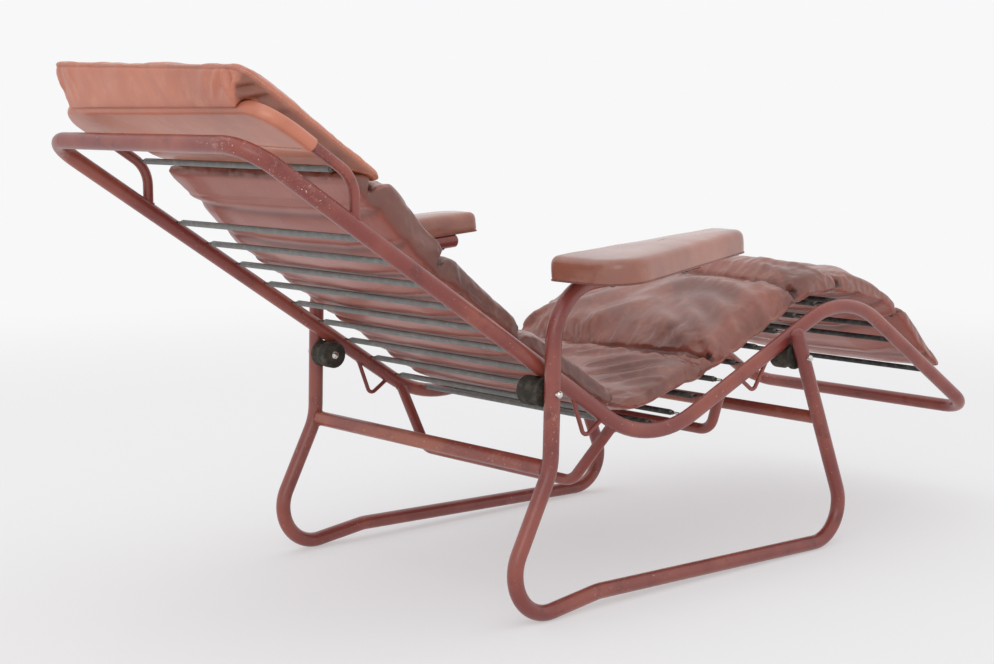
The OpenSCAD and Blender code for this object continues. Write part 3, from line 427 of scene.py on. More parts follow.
def wire(name, points, radius, sides=4, closed=False):
    """A round wire through a line of points, as a mesh."""
    line = bpy.data.curves.new(name, "CURVE")
    line.dimensions = "3D"
    line.bevel_depth = radius
    line.bevel_resolution = sides
    line.use_fill_caps = not closed
    run = line.splines.new("POLY")
    run.points.add(len(points) - 1)
    for k, p in enumerate(points):
        run.points[k].co = (*p, 1)
    run.use_cyclic_u = closed
    run.use_smooth = True
    select_only(linked(name, line))
    bpy.ops.object.convert(target="MESH")
    return bpy.context.object


def joined(pieces, name):
    """Several pieces as one mesh."""
    bpy.ops.object.select_all(action="DESELECT")
    for piece in pieces:
        piece.select_set(True)
    bpy.context.view_layer.objects.active = pieces[0]
    bpy.ops.object.join()
    pieces[0].name = name
    pieces[0].data.name = name
    return pieces[0]


# Springs: a wound wire in a plastic sleeve, drawn out at each end into a long hook

SHEATH_R = 4.8 * MM
SHEATH_WALL = 0.8 * MM
COIL_R = 3.1 * MM
WIRE_R = 0.85 * MM
HOOK_LEN = 15 * MM
HOOK_HALF_W = 2.4 * MM
CORE_SHOW = 5 * MM
COIL_TURNS = 7
PEG_LEN = 4 * MM
COIL_STEPS = 12
COIL_HIDDEN = 8 * MM
HOOK_END = 2 * MM
RAIL_INNER_X = LOOP_HALF_W - math.sqrt(TUBE_R**2 - SPRING_LIFT**2)
HOOP_R = 8 * MM


def spring_sleeve(half_len):
    """An open plastic tube along X with rounded lips."""
    bpy.ops.mesh.primitive_cylinder_add(
        vertices=20, radius=SHEATH_R, depth=2 * half_len, rotation=(0, math.radians(90), 0))
    sleeve = bpy.context.object
    bpy.ops.object.transform_apply(location=True, rotation=True, scale=True)
    bpy.ops.object.mode_set(mode="EDIT")
    bpy.ops.mesh.select_mode(type="FACE")
    bpy.ops.mesh.select_all(action="DESELECT")
    bpy.ops.object.mode_set(mode="OBJECT")
    for face in sleeve.data.polygons:
        face.select = abs(face.normal.x) > 0.9
    bpy.ops.object.mode_set(mode="EDIT")
    bpy.ops.mesh.inset(thickness=SHEATH_WALL)
    bpy.ops.mesh.extrude_region_move()
    bpy.ops.transform.resize(value=(1 - HOOK_LEN / half_len, 1, 1))
    bpy.ops.object.mode_set(mode="OBJECT")
    apply_modifier(
        sleeve, "BEVEL", width=0.3 * MM, segments=2, limit_method="ANGLE", angle_limit=math.radians(50))
    return smooth(sleeve)


def turned(k, steps, r=1.0):
    """A place on a circle, k of its steps round."""
    a = 2 * math.pi * k / steps
    return r * math.cos(a), r * math.sin(a)


def spring_end(core_end, side):
    """The last turns of the coil, the drawn-out loop and the peg that goes into the tube's wall."""
    start = core_end - CORE_SHOW - COIL_HIDDEN
    run, steps = core_end - start, COIL_TURNS * COIL_STEPS
    coil = [
        (side * (start + run * k / steps), *turned(k, COIL_STEPS, COIL_R)) for k in range(steps + 1)
    ]
    reach = core_end + HOOK_LEN - HOOK_END
    w = HOOK_HALF_W
    bend = reach - w
    loop = [(side * core_end, COIL_R, 0), (side * (core_end + HOOK_END), w, 0), (side * bend, w, 0)]
    loop += [
        (side * (bend + w * math.sin(a)), w * math.cos(a), 0)
        for a in (math.radians(15 * k) for k in range(1, 12))
    ]
    loop += [(side * bend, -w, 0), (side * (core_end + HOOK_END), -w, 0), (side * core_end, -COIL_R * 0.8, 0)]
    peg = [(side * (reach - WIRE_R), 0, 0), (side * (core_end + HOOK_LEN + PEG_LEN), 0, 0)]
    return [wire("coil", coil, WIRE_R, 1), wire("loop", loop, WIRE_R, 2), wire("peg", peg, WIRE_R, 2)]


def spring_pattern(core_end, cover, name):
    """One spring along X, centred on the origin, that its copies are made from."""
    sleeve = dress(spring_sleeve(core_end - CORE_SHOW), cover)
    ends = []
    for side in (1, -1):
        ends += spring_end(core_end, side)
    for piece in ends:
        dress(piece, SPRING_WIRE)
    return joined([sleeve, *ends], name)


def place_spring(pattern, node, place_and_slope, body):
    """A copy of a spring across the frame, in the stead of its plain rod."""
    place, slope = place_and_slope
    copy = linked(node + "_wound", pattern.data.copy())
    copy.data.transform(Matrix.Translation((0, *place)) @ Matrix.Rotation(math.radians(slope), 4, "X"))
    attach(copy, body)
    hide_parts(node)


loop_core_end = RAIL_INNER_X - HOOK_LEN
hoop_core_end = LOOP_HALF_W - HOOP_R - HOOK_LEN
grey_spring = spring_pattern(loop_core_end, GREY_SHEATH, "grey_spring")
black_spring = spring_pattern(loop_core_end, BLACK_SHEATH, "black_spring")
hoop_spring = spring_pattern(hoop_core_end, GREY_SHEATH, "hoop_spring")

BACK_SPRING_US = [(41.5 + 66 * k) * MM for k in range(10)]
SEAT_SPRING_US = [(-28 - 57 * k) * MM for k in range(11)]
CALF_SPRING_RUNS = [145 * MM, 205 * MM, 325 * MM]
HOOP_SPRING_RUNS = [752 * MM, 812 * MM]
HOOP_LIFT = 55 * MM
for k, u in enumerate(BACK_SPRING_US):
    place_spring(grey_spring, f"back_spring_{k + 1}", on_line(u, SPRING_LIFT), "lounge")
for k, u in enumerate(SEAT_SPRING_US):
    node, body = (f"seat_spring_{k + 1}", "lounge") if k else ("fold_spring", "fold_link")
    place_spring(black_spring, node, on_line(u, SPRING_LIFT), body)
for k, s in enumerate(CALF_SPRING_RUNS):
    where = on_line(calf_u(s), SPRING_LIFT)
    place_spring(black_spring, f"calf_spring_{k + 1}", where, "lounge")
for k, s in enumerate(HOOP_SPRING_RUNS):
    where = (back_at(s, HOOP_LIFT), BACK_SLOPE)
    place_spring(hoop_spring, f"headrest_spring_{k + 1}", where, "lounge")
for pattern in (grey_spring, black_spring, hoop_spring):
    bpy.data.objects.remove(pattern)


# Weld beads where one tube stands on another


def saddle(foot, toward, r, beside, along, big_r, steps=36):
    """The closed line where a tube of radius r meets a larger one of radius big_r."""
    foot, toward = Vector(foot), Vector(toward).normalized()
    beside, along = Vector(beside), Vector(along).normalized()
    across = toward.orthogonal().normalized()
    other = toward.cross(across)
    flat = toward - along * toward.dot(along)
    points = []
    for k in range(steps):
        c, s = turned(k, steps)
        p = foot + (across * c + other * s) * r
        gap = p - beside
        gap -= along * gap.dot(along)
        qa, qb, qc = flat.dot(flat), gap.dot(flat), gap.dot(gap) - big_r**2
        root = max(qb * qb - qa * qc, 0)
        points.append(p + toward * (-qb + math.sqrt(root)) / qa)
    return points


def weld_bead(name, points, radius):
    """A lumpy fillet of weld metal along a closed line."""
    bead = wire(name, points, radius, 2, closed=True)
    for v in bead.data.vertices:
        lump = noise.noise(v.co * 420) * 0.35 + noise.noise(v.co * 160) * 0.3
        near = min(points, key=lambda p: (p - v.co).length)
        v.co += (v.co - near) * lump
    return smooth(bead, 60)


def upright(dy, dz):
    """A direction in the plane of the side frames."""
    return (0, dy, dz)


def ring_bead(centre, radius, sides=32):
    """A bead round a bar that lies along X, at one place of it."""
    x, y, z = centre
    ring = []
    for k in range(sides):
        dy, dz = turned(k, sides, radius)
        ring.append(Vector((x, y + dy, z + dz)))
    return weld_bead("bead", ring, BEAD_R)


BEAD_R = 1.7 * MM
STOP_BEAD_R = 1.1 * MM
STOP_ROD_R = 3.5 * MM
BRACE_ROD_R = 9 * MM
SIDE_X = 301 * MM
HOOP_FOOT = 694 * MM
# Each brace: where it hangs on the side line, its bottom's place, and its half length
BRACES = [(83 * MM, (161 * MM, 173 * MM), 186 * MM), (-178 * MM, (-111 * MM, 229 * MM), 238 * MM)]
# Each pair of stop brackets: its run, the places of its two feet, and of its point below
STOPS = [
    (back_at, BACK_DIR, (200 * MM, 121 * MM), (140 * MM, -49 * MM)),
    (thigh_at, THIGH_DIR, (316 * MM, 239 * MM), (260 * MM, -42 * MM)),
]
bar_low, bar_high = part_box("rear_crossbar")
REAR_BAR = ((bar_low[1] + bar_high[1]) / 2, (bar_low[2] + bar_high[2]) / 2)
lounge_beads, base_beads = [], []
for side in (-1, 1):
    rail_x = side * LOOP_HALF_W
    hoop_foot = (rail_x, *back_at(HOOP_FOOT, 0))
    lounge_beads.append(weld_bead(
        "bead", saddle(hoop_foot, (0, 0, 1), HOOP_R, hoop_foot, upright(*BACK_DIR), TUBE_R), BEAD_R))
    for top_u, bottom, half_w in BRACES:
        place, slope = on_line(top_u, 0)
        top = (rail_x, *place)
        low = Vector((side * half_w, *bottom))
        along = upright(*heading(slope))
        seat = saddle(top, low - Vector(top), BRACE_ROD_R, top, along, TUBE_R)
        lounge_beads.append(weld_bead("bead", seat, BEAD_R))
    for at, way, feet, low_place in STOPS:
        low = Vector((rail_x, *at(*low_place)))
        for foot_run in feet:
            foot = Vector((rail_x, *at(foot_run, -TUBE_R / 2)))
            middle = (rail_x, *at(foot_run, 0))
            seat = saddle(foot, low - foot, STOP_ROD_R, middle, upright(*way), TUBE_R)
            lounge_beads.append(weld_bead("bead", seat, STOP_BEAD_R))
    base_beads.append(ring_bead((side * (SIDE_X - TUBE_R * 0.92), *REAR_BAR), TUBE_R))

for name, beads, body in (
    ("lounge_weld_beads", lounge_beads, "lounge"),
    ("base_weld_beads", base_beads, "base"),
):
    welds = dress(joined(beads, name), FRAME_PAINT)
    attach(welds, body)


# Cushions


def side_places(co):
    """Each point's place along the seat, from the fold to the foot, and height over the tube's middle."""
    yz = co[:, 1:3]
    on_thigh = yz - FOLD
    s, t = on_thigh @ THIGH_DIR, on_thigh @ THIGH_UP
    from_knee = yz - KNEE_CENTRE
    along, up = from_knee @ THIGH_DIR, from_knee @ THIGH_UP
    angle = np.arctan2(along, up)
    on_arc = (angle > 0) & (angle <= 2 * KNEE_HALF) & (s > THIGH_RUN / 2)
    s = np.where(on_arc, THIGH_RUN - KNEE_TRIM + angle * KNEE_BEND, s)
    t = np.where(on_arc, np.hypot(along, up) - KNEE_BEND, t)
    on_calf = (angle > 2 * KNEE_HALF) & (yz[:, 0] < KNEE_CENTRE[0])
    calf = yz - KNEE
    s = np.where(on_calf, THIGH_RUN - 2 * KNEE_TRIM + KNEE_ARC + calf @ CALF_DIR, s)
    t = np.where(on_calf, calf @ CALF_UP, t)
    return s, t


def back_places(co):
    """Each point's place along the back and height over the tube's middle."""
    on_back = co[:, 1:3] - FOLD
    return on_back @ BACK_DIR, on_back @ BACK_UP


def points_of(piece):
    co = np.empty(len(piece.data.vertices) * 3)
    piece.data.vertices.foreach_get("co", co)
    return co.reshape(-1, 3)


def normals_of(piece):
    n = np.empty(len(piece.data.vertices) * 3)
    piece.data.vertices.foreach_get("normal", n)
    return n.reshape(-1, 3)


def set_points(piece, co):
    """Moves every point of a piece to the place given for it."""
    piece.data.vertices.foreach_set("co", co.ravel())
    piece.data.update()


def soft_copy(node, name, voxel, rounds=3):
    """A cushion's own mesh, from its solid: merged, and remeshed evenly."""
    piece = linked(name, nodes[node].data.copy())
    edit_all(piece, bpy.ops.mesh.remove_doubles, threshold=0.02 * MM)
    apply_modifier(piece, "REMESH", mode="VOXEL", voxel_size=voxel)
    apply_modifier(piece, "SMOOTH", iterations=rounds, factor=0.5)
    return piece


CLOTH_PRESSURE = 3.0
CLOTH_FRAMES = 20


def swell(piece, held, cap, spare):
    """Blows the cushion up as cloth. held is each point's hold from 0 to 1, cap the most that a point
    may move, and spare the share by which its leather is cut larger than the form."""
    rest = points_of(piece)
    group = piece.vertex_groups.new(name="held")
    for level in np.linspace(0.1, 1, 10):
        chosen = np.flatnonzero(np.abs(np.round(held, 1) - level) < 0.05)
        if len(chosen):
            group.add(chosen.tolist(), float(level), "REPLACE")
    cloth = piece.modifiers.new("cloth", "CLOTH")
    settings = cloth.settings
    settings.quality = 4
    settings.mass = 0.4
    settings.tension_stiffness = settings.compression_stiffness = 12
    settings.shear_stiffness = 6
    settings.bending_stiffness = 0.6
    settings.use_pressure = True
    settings.uniform_pressure_force = CLOTH_PRESSURE
    settings.effector_weights.gravity = 0
    settings.vertex_group_mass = "held"
    settings.shrink_min = -spare
    cloth.collision_settings.use_collision = False
    cloth.collision_settings.use_self_collision = False
    cloth.point_cache.frame_start, cloth.point_cache.frame_end = 1, CLOTH_FRAMES
    for k in range(1, CLOTH_FRAMES + 1):
        bpy.context.scene.frame_set(k)
    select_only(piece)
    bpy.ops.object.modifier_apply(modifier=cloth.name)
    bpy.context.scene.frame_set(1)
    moved = points_of(piece) - rest
    far = np.linalg.norm(moved, axis=1, keepdims=True)
    moved *= cap * np.tanh(far / cap) / np.maximum(far, 1e-9)
    set_points(piece, rest + moved)
    piece.vertex_groups.clear()


def ramp(value, start, run):
    """0 up to start, then a straight rise to 1 over run, which may be negative."""
    return np.clip((value - start) / run, 0, 1)


def rolled_out(x, s):
    """Points of a cushion rolled out flat."""
    return np.stack([x, s, np.zeros(len(x))], 1)


def dip(gap, width):
    """1 on a line and 0 away from it, with a narrow round bottom."""
    return np.exp(-((gap / width) ** 2))


def ripple(co, scale, seed):
    """Smooth noise from -1 to 1 at each point."""
    shift = Vector((seed * 7.3, seed * 3.1, seed * 5.7))
    return np.array([noise.noise(Vector(p) * scale + shift) for p in co])


# Cushions' own sizes: where the seams are sewn and how deep, and how the leather gathers beside them
MATTRESS_HALF_W = 241 * MM
BACK_SEAMS = [310 * MM, 505 * MM, 668 * MM]
SEAT_SEAMS = [202 * MM, 456 * MM, 554 * MM, 728 * MM]
SEAT_SLANTS = [-0.07, 0, 0, 0]
SEAM_W = 4.5 * MM
SEAM_DEPTH = 5.5 * MM
PUCKER_REACH = 40 * MM
PUCKER_RISE = 3.4 * MM
SLIT_REACH = 34 * MM
SLIT_DEPTH = 12 * MM
SEAM_SIDE_DEPTH = 1.2 * MM
SEAM_WANDER = 3 * MM
SEAM_END_BOW = 9 * MM
SEAM_HOLD = 7 * MM
SPRING_DENT_W = 11 * MM
# The painted shadow line along each spring is this wide
SPRING_SHADOW_W = 8 * MM
SPRING_DENT = 1.5 * MM
UNDER_HOLD = 0.8
VOXEL = 5 * MM

# Drag folds on the seat: from one x and place to another, half width and rise, in millimetres
SEAT_FOLDS = [
    (-226, 236, -96, 330, 13, 7), (-190, 232, -30, 300, 17, 6), (-228, 300, -110, 372, 15, 5),
    (-228, 372, -60, 428, 16, 5), (60, 236, -50, 340, 22, 6), (170, 246, 60, 350, 20, 5),
    (20, 330, -70, 420, 22, 4), (224, 330, 120, 410, 20, 5), (228, 232, 150, 300, 13, 6),
    (-60, 108, -150, 176, 6, 5), (-88, 78, -190, 172, 6, 6), (-136, 62, -212, 148, 7, 5),
    (0, 138, -118, 192, 7, 5), (64, 118, -22, 178, 9, 4), (-216, 186, -130, 178, 6, 4),
    (-222, 110, -176, 60, 8, 4), (222, 176, 120, 130, 9, 5), (216, 110, 110, 70, 11, 4),
    (-222, 470, -90, 492, 10, 4), (-224, 520, -70, 505, 9, 4), (225, 480, 70, 500, 12, 4),
    (-222, 590, -80, 640, 14, 4), (-220, 745, -90, 790, 12, 4), (-60, 560, 120, 600, 14, 3),
    (220, 600, 70, 660, 16, 4), (-224, 690, -110, 660, 12, 4),
]


def keep_point_value(piece, name, values):
    """Keeps a value from 0 to 1 at each point, for the leather's shader: its painted shade with some grime,
    and the underside mask for its painted lighter colour.
    """
    held = piece.data.attributes.get(name) or piece.data.attributes.new(name, "FLOAT", "POINT")
    held.data.foreach_set("value", np.clip(values, 0, 1).astype(np.float32))


def add_painted_shade(piece, values):
    """More painted shade where values are higher than what is there already."""
    held = np.zeros(len(piece.data.vertices), np.float32)
    old = piece.data.attributes.get("shade_and_grime")
    if old:
        old.data.foreach_get("value", held)
    keep_point_value(piece, "shade_and_grime", np.maximum(held, values))


def sew(piece, places, seams, slants, seed):
    """Sewn channels: a narrow trench on each seam, puckers beside it, pinched slits at its ends, and painted
    shade with some grime along each seam.
    """
    co, n = points_of(piece), normals_of(piece)
    x, s = co[:, 0], places(co)[0]
    top = np.clip(n[:, 2] * 3 + 0.3, 0, 1)
    move, shade_and_grime = np.zeros(len(co)), np.zeros(len(co))
    wob = ripple(rolled_out(x, s * 0.25), 46, seed)
    fine = ripple(rolled_out(x, s * 0.2), 105, seed + 2)
    edge = ramp(np.abs(x), MATTRESS_HALF_W - SLIT_REACH, SLIT_REACH)
    for k, seam in enumerate(seams):
        bow = seam + slants[k] * x + SEAM_WANDER * np.sin(9 * x + k) + SEAM_END_BOW * edge**2
        gap = s - bow
        trench = dip(gap, SEAM_W)
        beside = np.exp(-np.abs(gap) / PUCKER_REACH) * (1 - trench)
        depth = SEAM_DEPTH + SLIT_DEPTH * np.sin(np.pi * edge) ** 2
        move += top * (PUCKER_RISE * beside * (wob + 0.5 * fine) - depth * trench)
        move -= (1 - top) * SEAM_SIDE_DEPTH * trench
        # Painted shade with some grime along each seam, darker and wider toward the pinched slits at its ends
        shade_and_grime = np.maximum(shade_and_grime, dip(gap, SEAM_W * (0.8 + 0.7 * edge)) * (0.5 + 0.5 * edge) * top)
    co += n * move[:, None]
    set_points(piece, co)
    keep_point_value(piece, "shade_and_grime", shade_and_grime)


def fold_over(piece, places, folds):
    """Soft drag folds on the top."""
    co, n = points_of(piece), normals_of(piece)
    p = np.stack([co[:, 0], places(co)[0]], 1)
    top = np.clip(n[:, 2] * 3, 0, 1)
    move = np.zeros(len(co))
    for *ends, width, rise in folds:
        a, b = np.array(ends[:2]) * MM, np.array(ends[2:]) * MM
        d = b - a
        k = np.clip(((p - a) @ d) / (d @ d), 0, 1)
        gap = np.linalg.norm(p - (a + k[:, None] * d), axis=1)
        spread = width * MM * (0.7 + 0.8 * k)
        along = np.sin(np.pi * (0.14 + 0.8 * k))
        move += rise * MM * (dip(gap, spread) - 0.4 * dip(gap - 1.8 * spread, spread)) * along * top
    co += n * move[:, None]
    set_points(piece, co)


def rest_on_springs(piece, places, springs, lift):
    """The underside is pressed up a little by each spring that it lies on, and drawn in between them. A
    painted shadow line runs along each spring, and the under mask marks the underside for its painted lighter
    colour.
    """
    co, n = points_of(piece), normals_of(piece)
    s = places(co)[0]
    under = np.clip(-n[:, 2] * 2, 0, 1)
    near = np.zeros(len(co))
    for place in springs:
        near = np.maximum(near, dip(s - place, SPRING_DENT_W))
    soft = ripple(rolled_out(co[:, 0], s * 2), 14, 9)
    co -= n * ((SPRING_DENT * near + lift * (0.5 + 0.5 * soft) * (1 - near)) * under)[:, None]
    set_points(piece, co)
    # Painted shadow lines on the underside along each spring that it lies on
    spring_shadow_lines = np.zeros(len(co))
    for place in springs:
        spring_shadow_lines = np.maximum(spring_shadow_lines, dip(s - place, SPRING_SHADOW_W))
    add_painted_shade(piece, 0.5 * spring_shadow_lines * under)
    # The under mask gives the underside its painted lighter colour, as if lit from the floor
    keep_point_value(piece, "under", under)


def holding(piece, places, seams, springs):
    """How firmly each point is held: fully on the seams and over the springs, and less on the underside."""
    co, n = points_of(piece), normals_of(piece)
    s = places(co)[0]
    held = np.zeros(len(co))
    for seam in seams:
        held = np.maximum(held, (np.abs(s - seam) < SEAM_HOLD) * 1.0)
    under = n[:, 2] < -0.3
    held = np.maximum(held, under * UNDER_HOLD)
    for place in springs:
        held = np.maximum(held, (under & (np.abs(s - place) < SEAM_HOLD)) * 1.0)
    return held


def finer(piece):
    """One subdivision, which rounds what the voxels left."""
    apply_modifier(piece, "SUBSURF", levels=1, render_levels=1)


def snapped(piece, points, proud):
    """Points brought to the piece's surface, and held proud of it."""
    placed = []
    for p in points:
        _, where, normal, _ = piece.closest_point_on_mesh(Vector(p))
        placed.append(where + normal * proud)
    return placed


BACK_HEAD = 694 * MM
HEAD_WIDER = 0.035
PLUMP_RISE = 15 * MM
PLUMP_FROM = 400 * MM
PLUMP_RUN = 230 * MM
SEAM_FILL = 5 * MM
SEAM_FILL_W = 26 * MM
BACK_UNDER = 12 * MM
BACK_UNDER_RISE = 36 * MM
BACK_UNDER_RUN = 134 * MM


def plump_head(piece):
    """The back's head half stands plumper and a little wider on one side, and its side faces get painted
    shade.
    """
    co = points_of(piece)
    sides = ramp(np.abs(normals_of(piece)[:, 0]), 0.25, 0.5)
    co[:, 0] *= 1 + HEAD_WIDER * ramp(back_places(co)[0], BACK_HEAD - 24 * MM, 50 * MM) * (co[:, 0] > 0)
    s, t = back_places(co)
    rising = ramp(s, PLUMP_FROM, PLUMP_RUN)
    plump = PLUMP_RISE * rising * rising * (3 - 2 * rising)
    plump += SEAM_FILL * dip(s - BACK_SEAMS[1], SEAM_FILL_W)
    below = BACK_UNDER + BACK_UNDER_RISE * ramp(s, BACK_HEAD - BACK_UNDER_RUN, BACK_UNDER_RUN)
    plump *= ramp(t, below + 10 * MM, 24 * MM)
    co[:, 1:] += plump[:, None] * BACK_UP
    set_points(piece, co)
    # Painted shade on the back's side faces
    add_painted_shade(piece, 0.5 * sides)


back_spring_places = [FOLD_TRIM + u - FOLD_HALF_ARC for u in BACK_SPRING_US if u > FOLD_HALF_ARC]
seat_spring_places = [FOLD_TRIM - u - FOLD_HALF_ARC for u in SEAT_SPRING_US if -u > FOLD_HALF_ARC]
calf_places = [THIGH_RUN - 2 * KNEE_TRIM + KNEE_ARC + s for s in CALF_SPRING_RUNS]

mattress_back = soft_copy("mattress_back", "mattress_back_leather", VOXEL)
swell(mattress_back, holding(mattress_back, back_places, BACK_SEAMS, back_spring_places), 6 * MM, 0.02)
finer(mattress_back)
sew(mattress_back, back_places, BACK_SEAMS, [0, 0, 0], 1)
plump_head(mattress_back)
rest_on_springs(mattress_back, back_places, back_spring_places, -2.5 * MM)

mattress_seat = soft_copy("mattress_seat", "mattress_seat_leather", VOXEL)
swell(
    mattress_seat, holding(mattress_seat, side_places, SEAT_SEAMS, seat_spring_places + calf_places),
    6 * MM, 0.03)
finer(mattress_seat)
sew(mattress_seat, side_places, SEAT_SEAMS, SEAT_SLANTS, 3)
fold_over(mattress_seat, side_places, SEAT_FOLDS)
rest_on_springs(mattress_seat, side_places, seat_spring_places + calf_places, -2.0 * MM)


# Head pillow, the thread stitches round its rolled rim, and the pocket that the hoop goes into

PILLOW_HALF_W = 242 * MM
PILLOW_SKEW = 0.048
PILLOW_FOOT, PILLOW_HEAD = 672 * MM, 955 * MM
PILLOW_CROWN = 96 * MM
PILLOW_HEEL = 905 * MM
PILLOW_FREE, PILLOW_FREE_RUN = 66 * MM, 22 * MM
HOOP_TOP = 900 * MM
POCKET_R = HOOP_R + 1.9 * MM
POCKET_FOOT = 828 * MM
POCKET_STEPS = (0, 2, 4, 6, 8, 11, 15, 20, 26, 33, 41, 50, 58, 64, 68, 72)
POCKET_TURNS = (12, 26, 40, 54, 66, 76, 84)
HEM_W = 7 * MM
HEM_LINE = 834.5 * MM
POCKET_CORNER = 60 * MM
HEEL_NARROW = 0.065
RIM_CORNER = 24 * MM
ROLL_SEAM = 88 * MM
# The pillow's side outline, as places along the back and heights over the tube's middle, in millimetres:
# over the top from the foot, round the rolled rim, down the slanted end to the heel, and back under
PILLOW_TOP = [
    (672, 90), (676, 96), (690, 101), (715, 106), (750, 110), (800, 113), (850, 114), (895, 113), (925, 110),
    (942, 106), (952, 101), (957, 95), (956, 89),
]
PILLOW_END = [(952, 84), (945, 77), (936, 68), (926, 58), (918, 50), (913, 46.5)]
PILLOW_LOW = [
    (911.2, 49), (911, 60), (909, 65.8), (880, 65.8), (830, 65.8), (790, 65.8), (760, 66), (745, 68),
    (730, 71.5), (718, 75.5), (706, 80.5), (695, 84.5), (676, 85.5),
]
PILLOW_HALF_ACROSS = [0.25, 0.5, 0.7, 0.85, 0.92, 0.96, 0.99, 1]
PILLOW_ACROSS = [-share for share in reversed(PILLOW_HALF_ACROSS)] + [0] + PILLOW_HALF_ACROSS
# Gathers at the head end: place across, lean, half width, rise, and the side it falls to
HEAD_GATHERS = [
    (186, 6, 6, 3.6, -1), (212, -9, 5.5, 5.0, -1), (231, 10, 5, 4.0, -1), (160, 4, 12, 1.6, -1),
    (200, -6, 9, 2.2, 1), (70, 12, 24, 1.2, -1), (60, -10, 28, 1.2, 1),
]
# Gathers on the near side: place along the back, half width and rise
SIDE_GATHERS = [(932, 6, 4.0), (908, 7, 4.0), (872, 10, 2.5), (770, 16, 2.5)]


def quads(rows, count):
    """The faces between rows of points, where each row closes round."""
    faces = []
    for j in range(rows - 1):
        for k in range(count):
            a, b = j * count + k, j * count + (k + 1) % count
            faces.append((a, b, b + count, a + count))
    return faces


def closed_skin(rows, count):
    """The same faces, with one more over each end."""
    last = (rows - 1) * count
    return quads(rows, count) + [tuple(range(count)), tuple(last + k for k in reversed(range(count)))]


def new_mesh(name, points, faces):
    """A piece from points and faces, with every face looking outward."""
    mesh = bpy.data.meshes.new(name)
    mesh.from_pydata([tuple(p) for p in points], [], faces)
    piece = linked(name, mesh)
    edit_all(piece, bpy.ops.mesh.normals_make_consistent, inside=False)
    return piece


def pillow_form(name):
    """The pillow's cut form before it is filled: its side outline carried across from edge to edge."""
    outline = np.array(PILLOW_TOP + PILLOW_END + PILLOW_LOW) * MM
    points = []
    for share in PILLOW_ACROSS:
        x = PILLOW_HALF_W * share
        beyond = max(0.0, abs(x) - PILLOW_HALF_W + RIM_CORNER)
        draw = RIM_CORNER - math.sqrt(max(RIM_CORNER**2 - beyond**2, 0))
        for s, t in outline:
            over = max(0.0, t - PILLOW_CROWN) * (0.25 + 0.75 * (1 - abs(share) ** 3))
            t = min(t, PILLOW_CROWN) + over
            to_head = ramp(s, 900 * MM, 50 * MM)
            to_foot = ramp(s, 720 * MM, -48 * MM)
            free = ramp(t, PILLOW_FREE, PILLOW_FREE_RUN)
            heel = ramp(t, 80 * MM, -30 * MM) * (s > PILLOW_HEEL)
            s = s - draw * to_head * free + draw * to_foot + PILLOW_SKEW * x * free
            points.append((x * (1 - HEEL_NARROW * heel), *back_at(s, t)))
    piece = new_mesh(name, points, closed_skin(len(PILLOW_ACROSS), len(outline)))
    apply_modifier(piece, "REMESH", mode="VOXEL", voxel_size=4.5 * MM)
    apply_modifier(piece, "SMOOTH", iterations=3, factor=0.5)
    return piece


def pillow_folds(piece):
    """Drawn leather at the pillow's head corners, a seam under its rolled rim, and soft wrinkles on top, with
    painted shade on its side faces and in that seam.
    """
    co, n = points_of(piece), normals_of(piece)
    s, t = back_places(co)
    x = co[:, 0]
    s = s - PILLOW_SKEW * x * ramp(t, PILLOW_FREE, PILLOW_FREE_RUN)
    end = np.clip(n[:, 1:3] @ BACK_DIR * 1.8 - 0.3, 0, 1)
    side = np.clip(np.abs(n[:, 0]) * 1.5 - 0.3, 0, 1)
    drop = ramp(t, 52 * MM, 16 * MM) * ramp(t, 90 * MM, -8 * MM)
    move = np.zeros(len(co))
    for at, lean, width, rise, sgn in HEAD_GATHERS:
        line = sgn * (at * MM + lean * MM * (t - 70 * MM) / (20 * MM))
        width *= MM
        for mirror, much in ((1, 1.0), (-1, 0.3)):
            gap = x * mirror - line
            fold = dip(gap, width) - 0.7 * dip(gap - sgn * 1.8 * width, width)
            move += much * rise * MM * end * drop * fold
    near = np.where(x < 0, 1, 0.3)
    for at, width, rise in SIDE_GATHERS:
        gap = s - at * MM + 0.5 * (t - 80 * MM)
        width *= MM
        fold = dip(gap, width) - 0.7 * dip(gap + 1.8 * width, width)
        move += rise * MM * fold * side * drop * near
    edge = np.maximum(end, side)
    seam = dip(t - ROLL_SEAM, 2.2 * MM) * edge
    move -= 1.8 * MM * seam
    soft = ripple(np.stack([x, s, t], 1), 10, 5)
    gather = ripple(np.stack([x, s, t * 0.2], 1), 60, 8)
    move += 2.4 * MM * soft * np.clip(n[:, 1:3] @ BACK_UP * 2, 0, 1)
    move += 0.9 * MM * gather * dip(t - ROLL_SEAM, 9 * MM) * edge
    co += n * move[:, None]
    set_points(piece, co)
    # Painted shade on the side faces, painted shade with some grime in the seam under the rolled rim, and a
    # faint darker line along the heel's lower edge
    shaded_sides = 0.6 * side * ramp(t, 50 * MM, 10 * MM) * ramp(t, ROLL_SEAM + 6 * MM, -8 * MM)
    sole = 0.15 * dip(t - 47 * MM, 3 * MM) * (s > PILLOW_HEEL)
    keep_point_value(piece, "shade_and_grime", np.maximum(0.45 * seam + sole, shaded_sides))


head_pillow = pillow_form("head_pillow_leather")
hold_low = (normals_of(head_pillow)[:, 1:3] @ BACK_UP < -0.3) * 1.0
hold_seam = (np.abs(back_places(points_of(head_pillow))[1] - ROLL_SEAM) < 3 * MM) * 1.0
swell(head_pillow, np.maximum(hold_low, hold_seam), 4 * MM, 0.01)
finer(head_pillow)
pillow_folds(head_pillow)


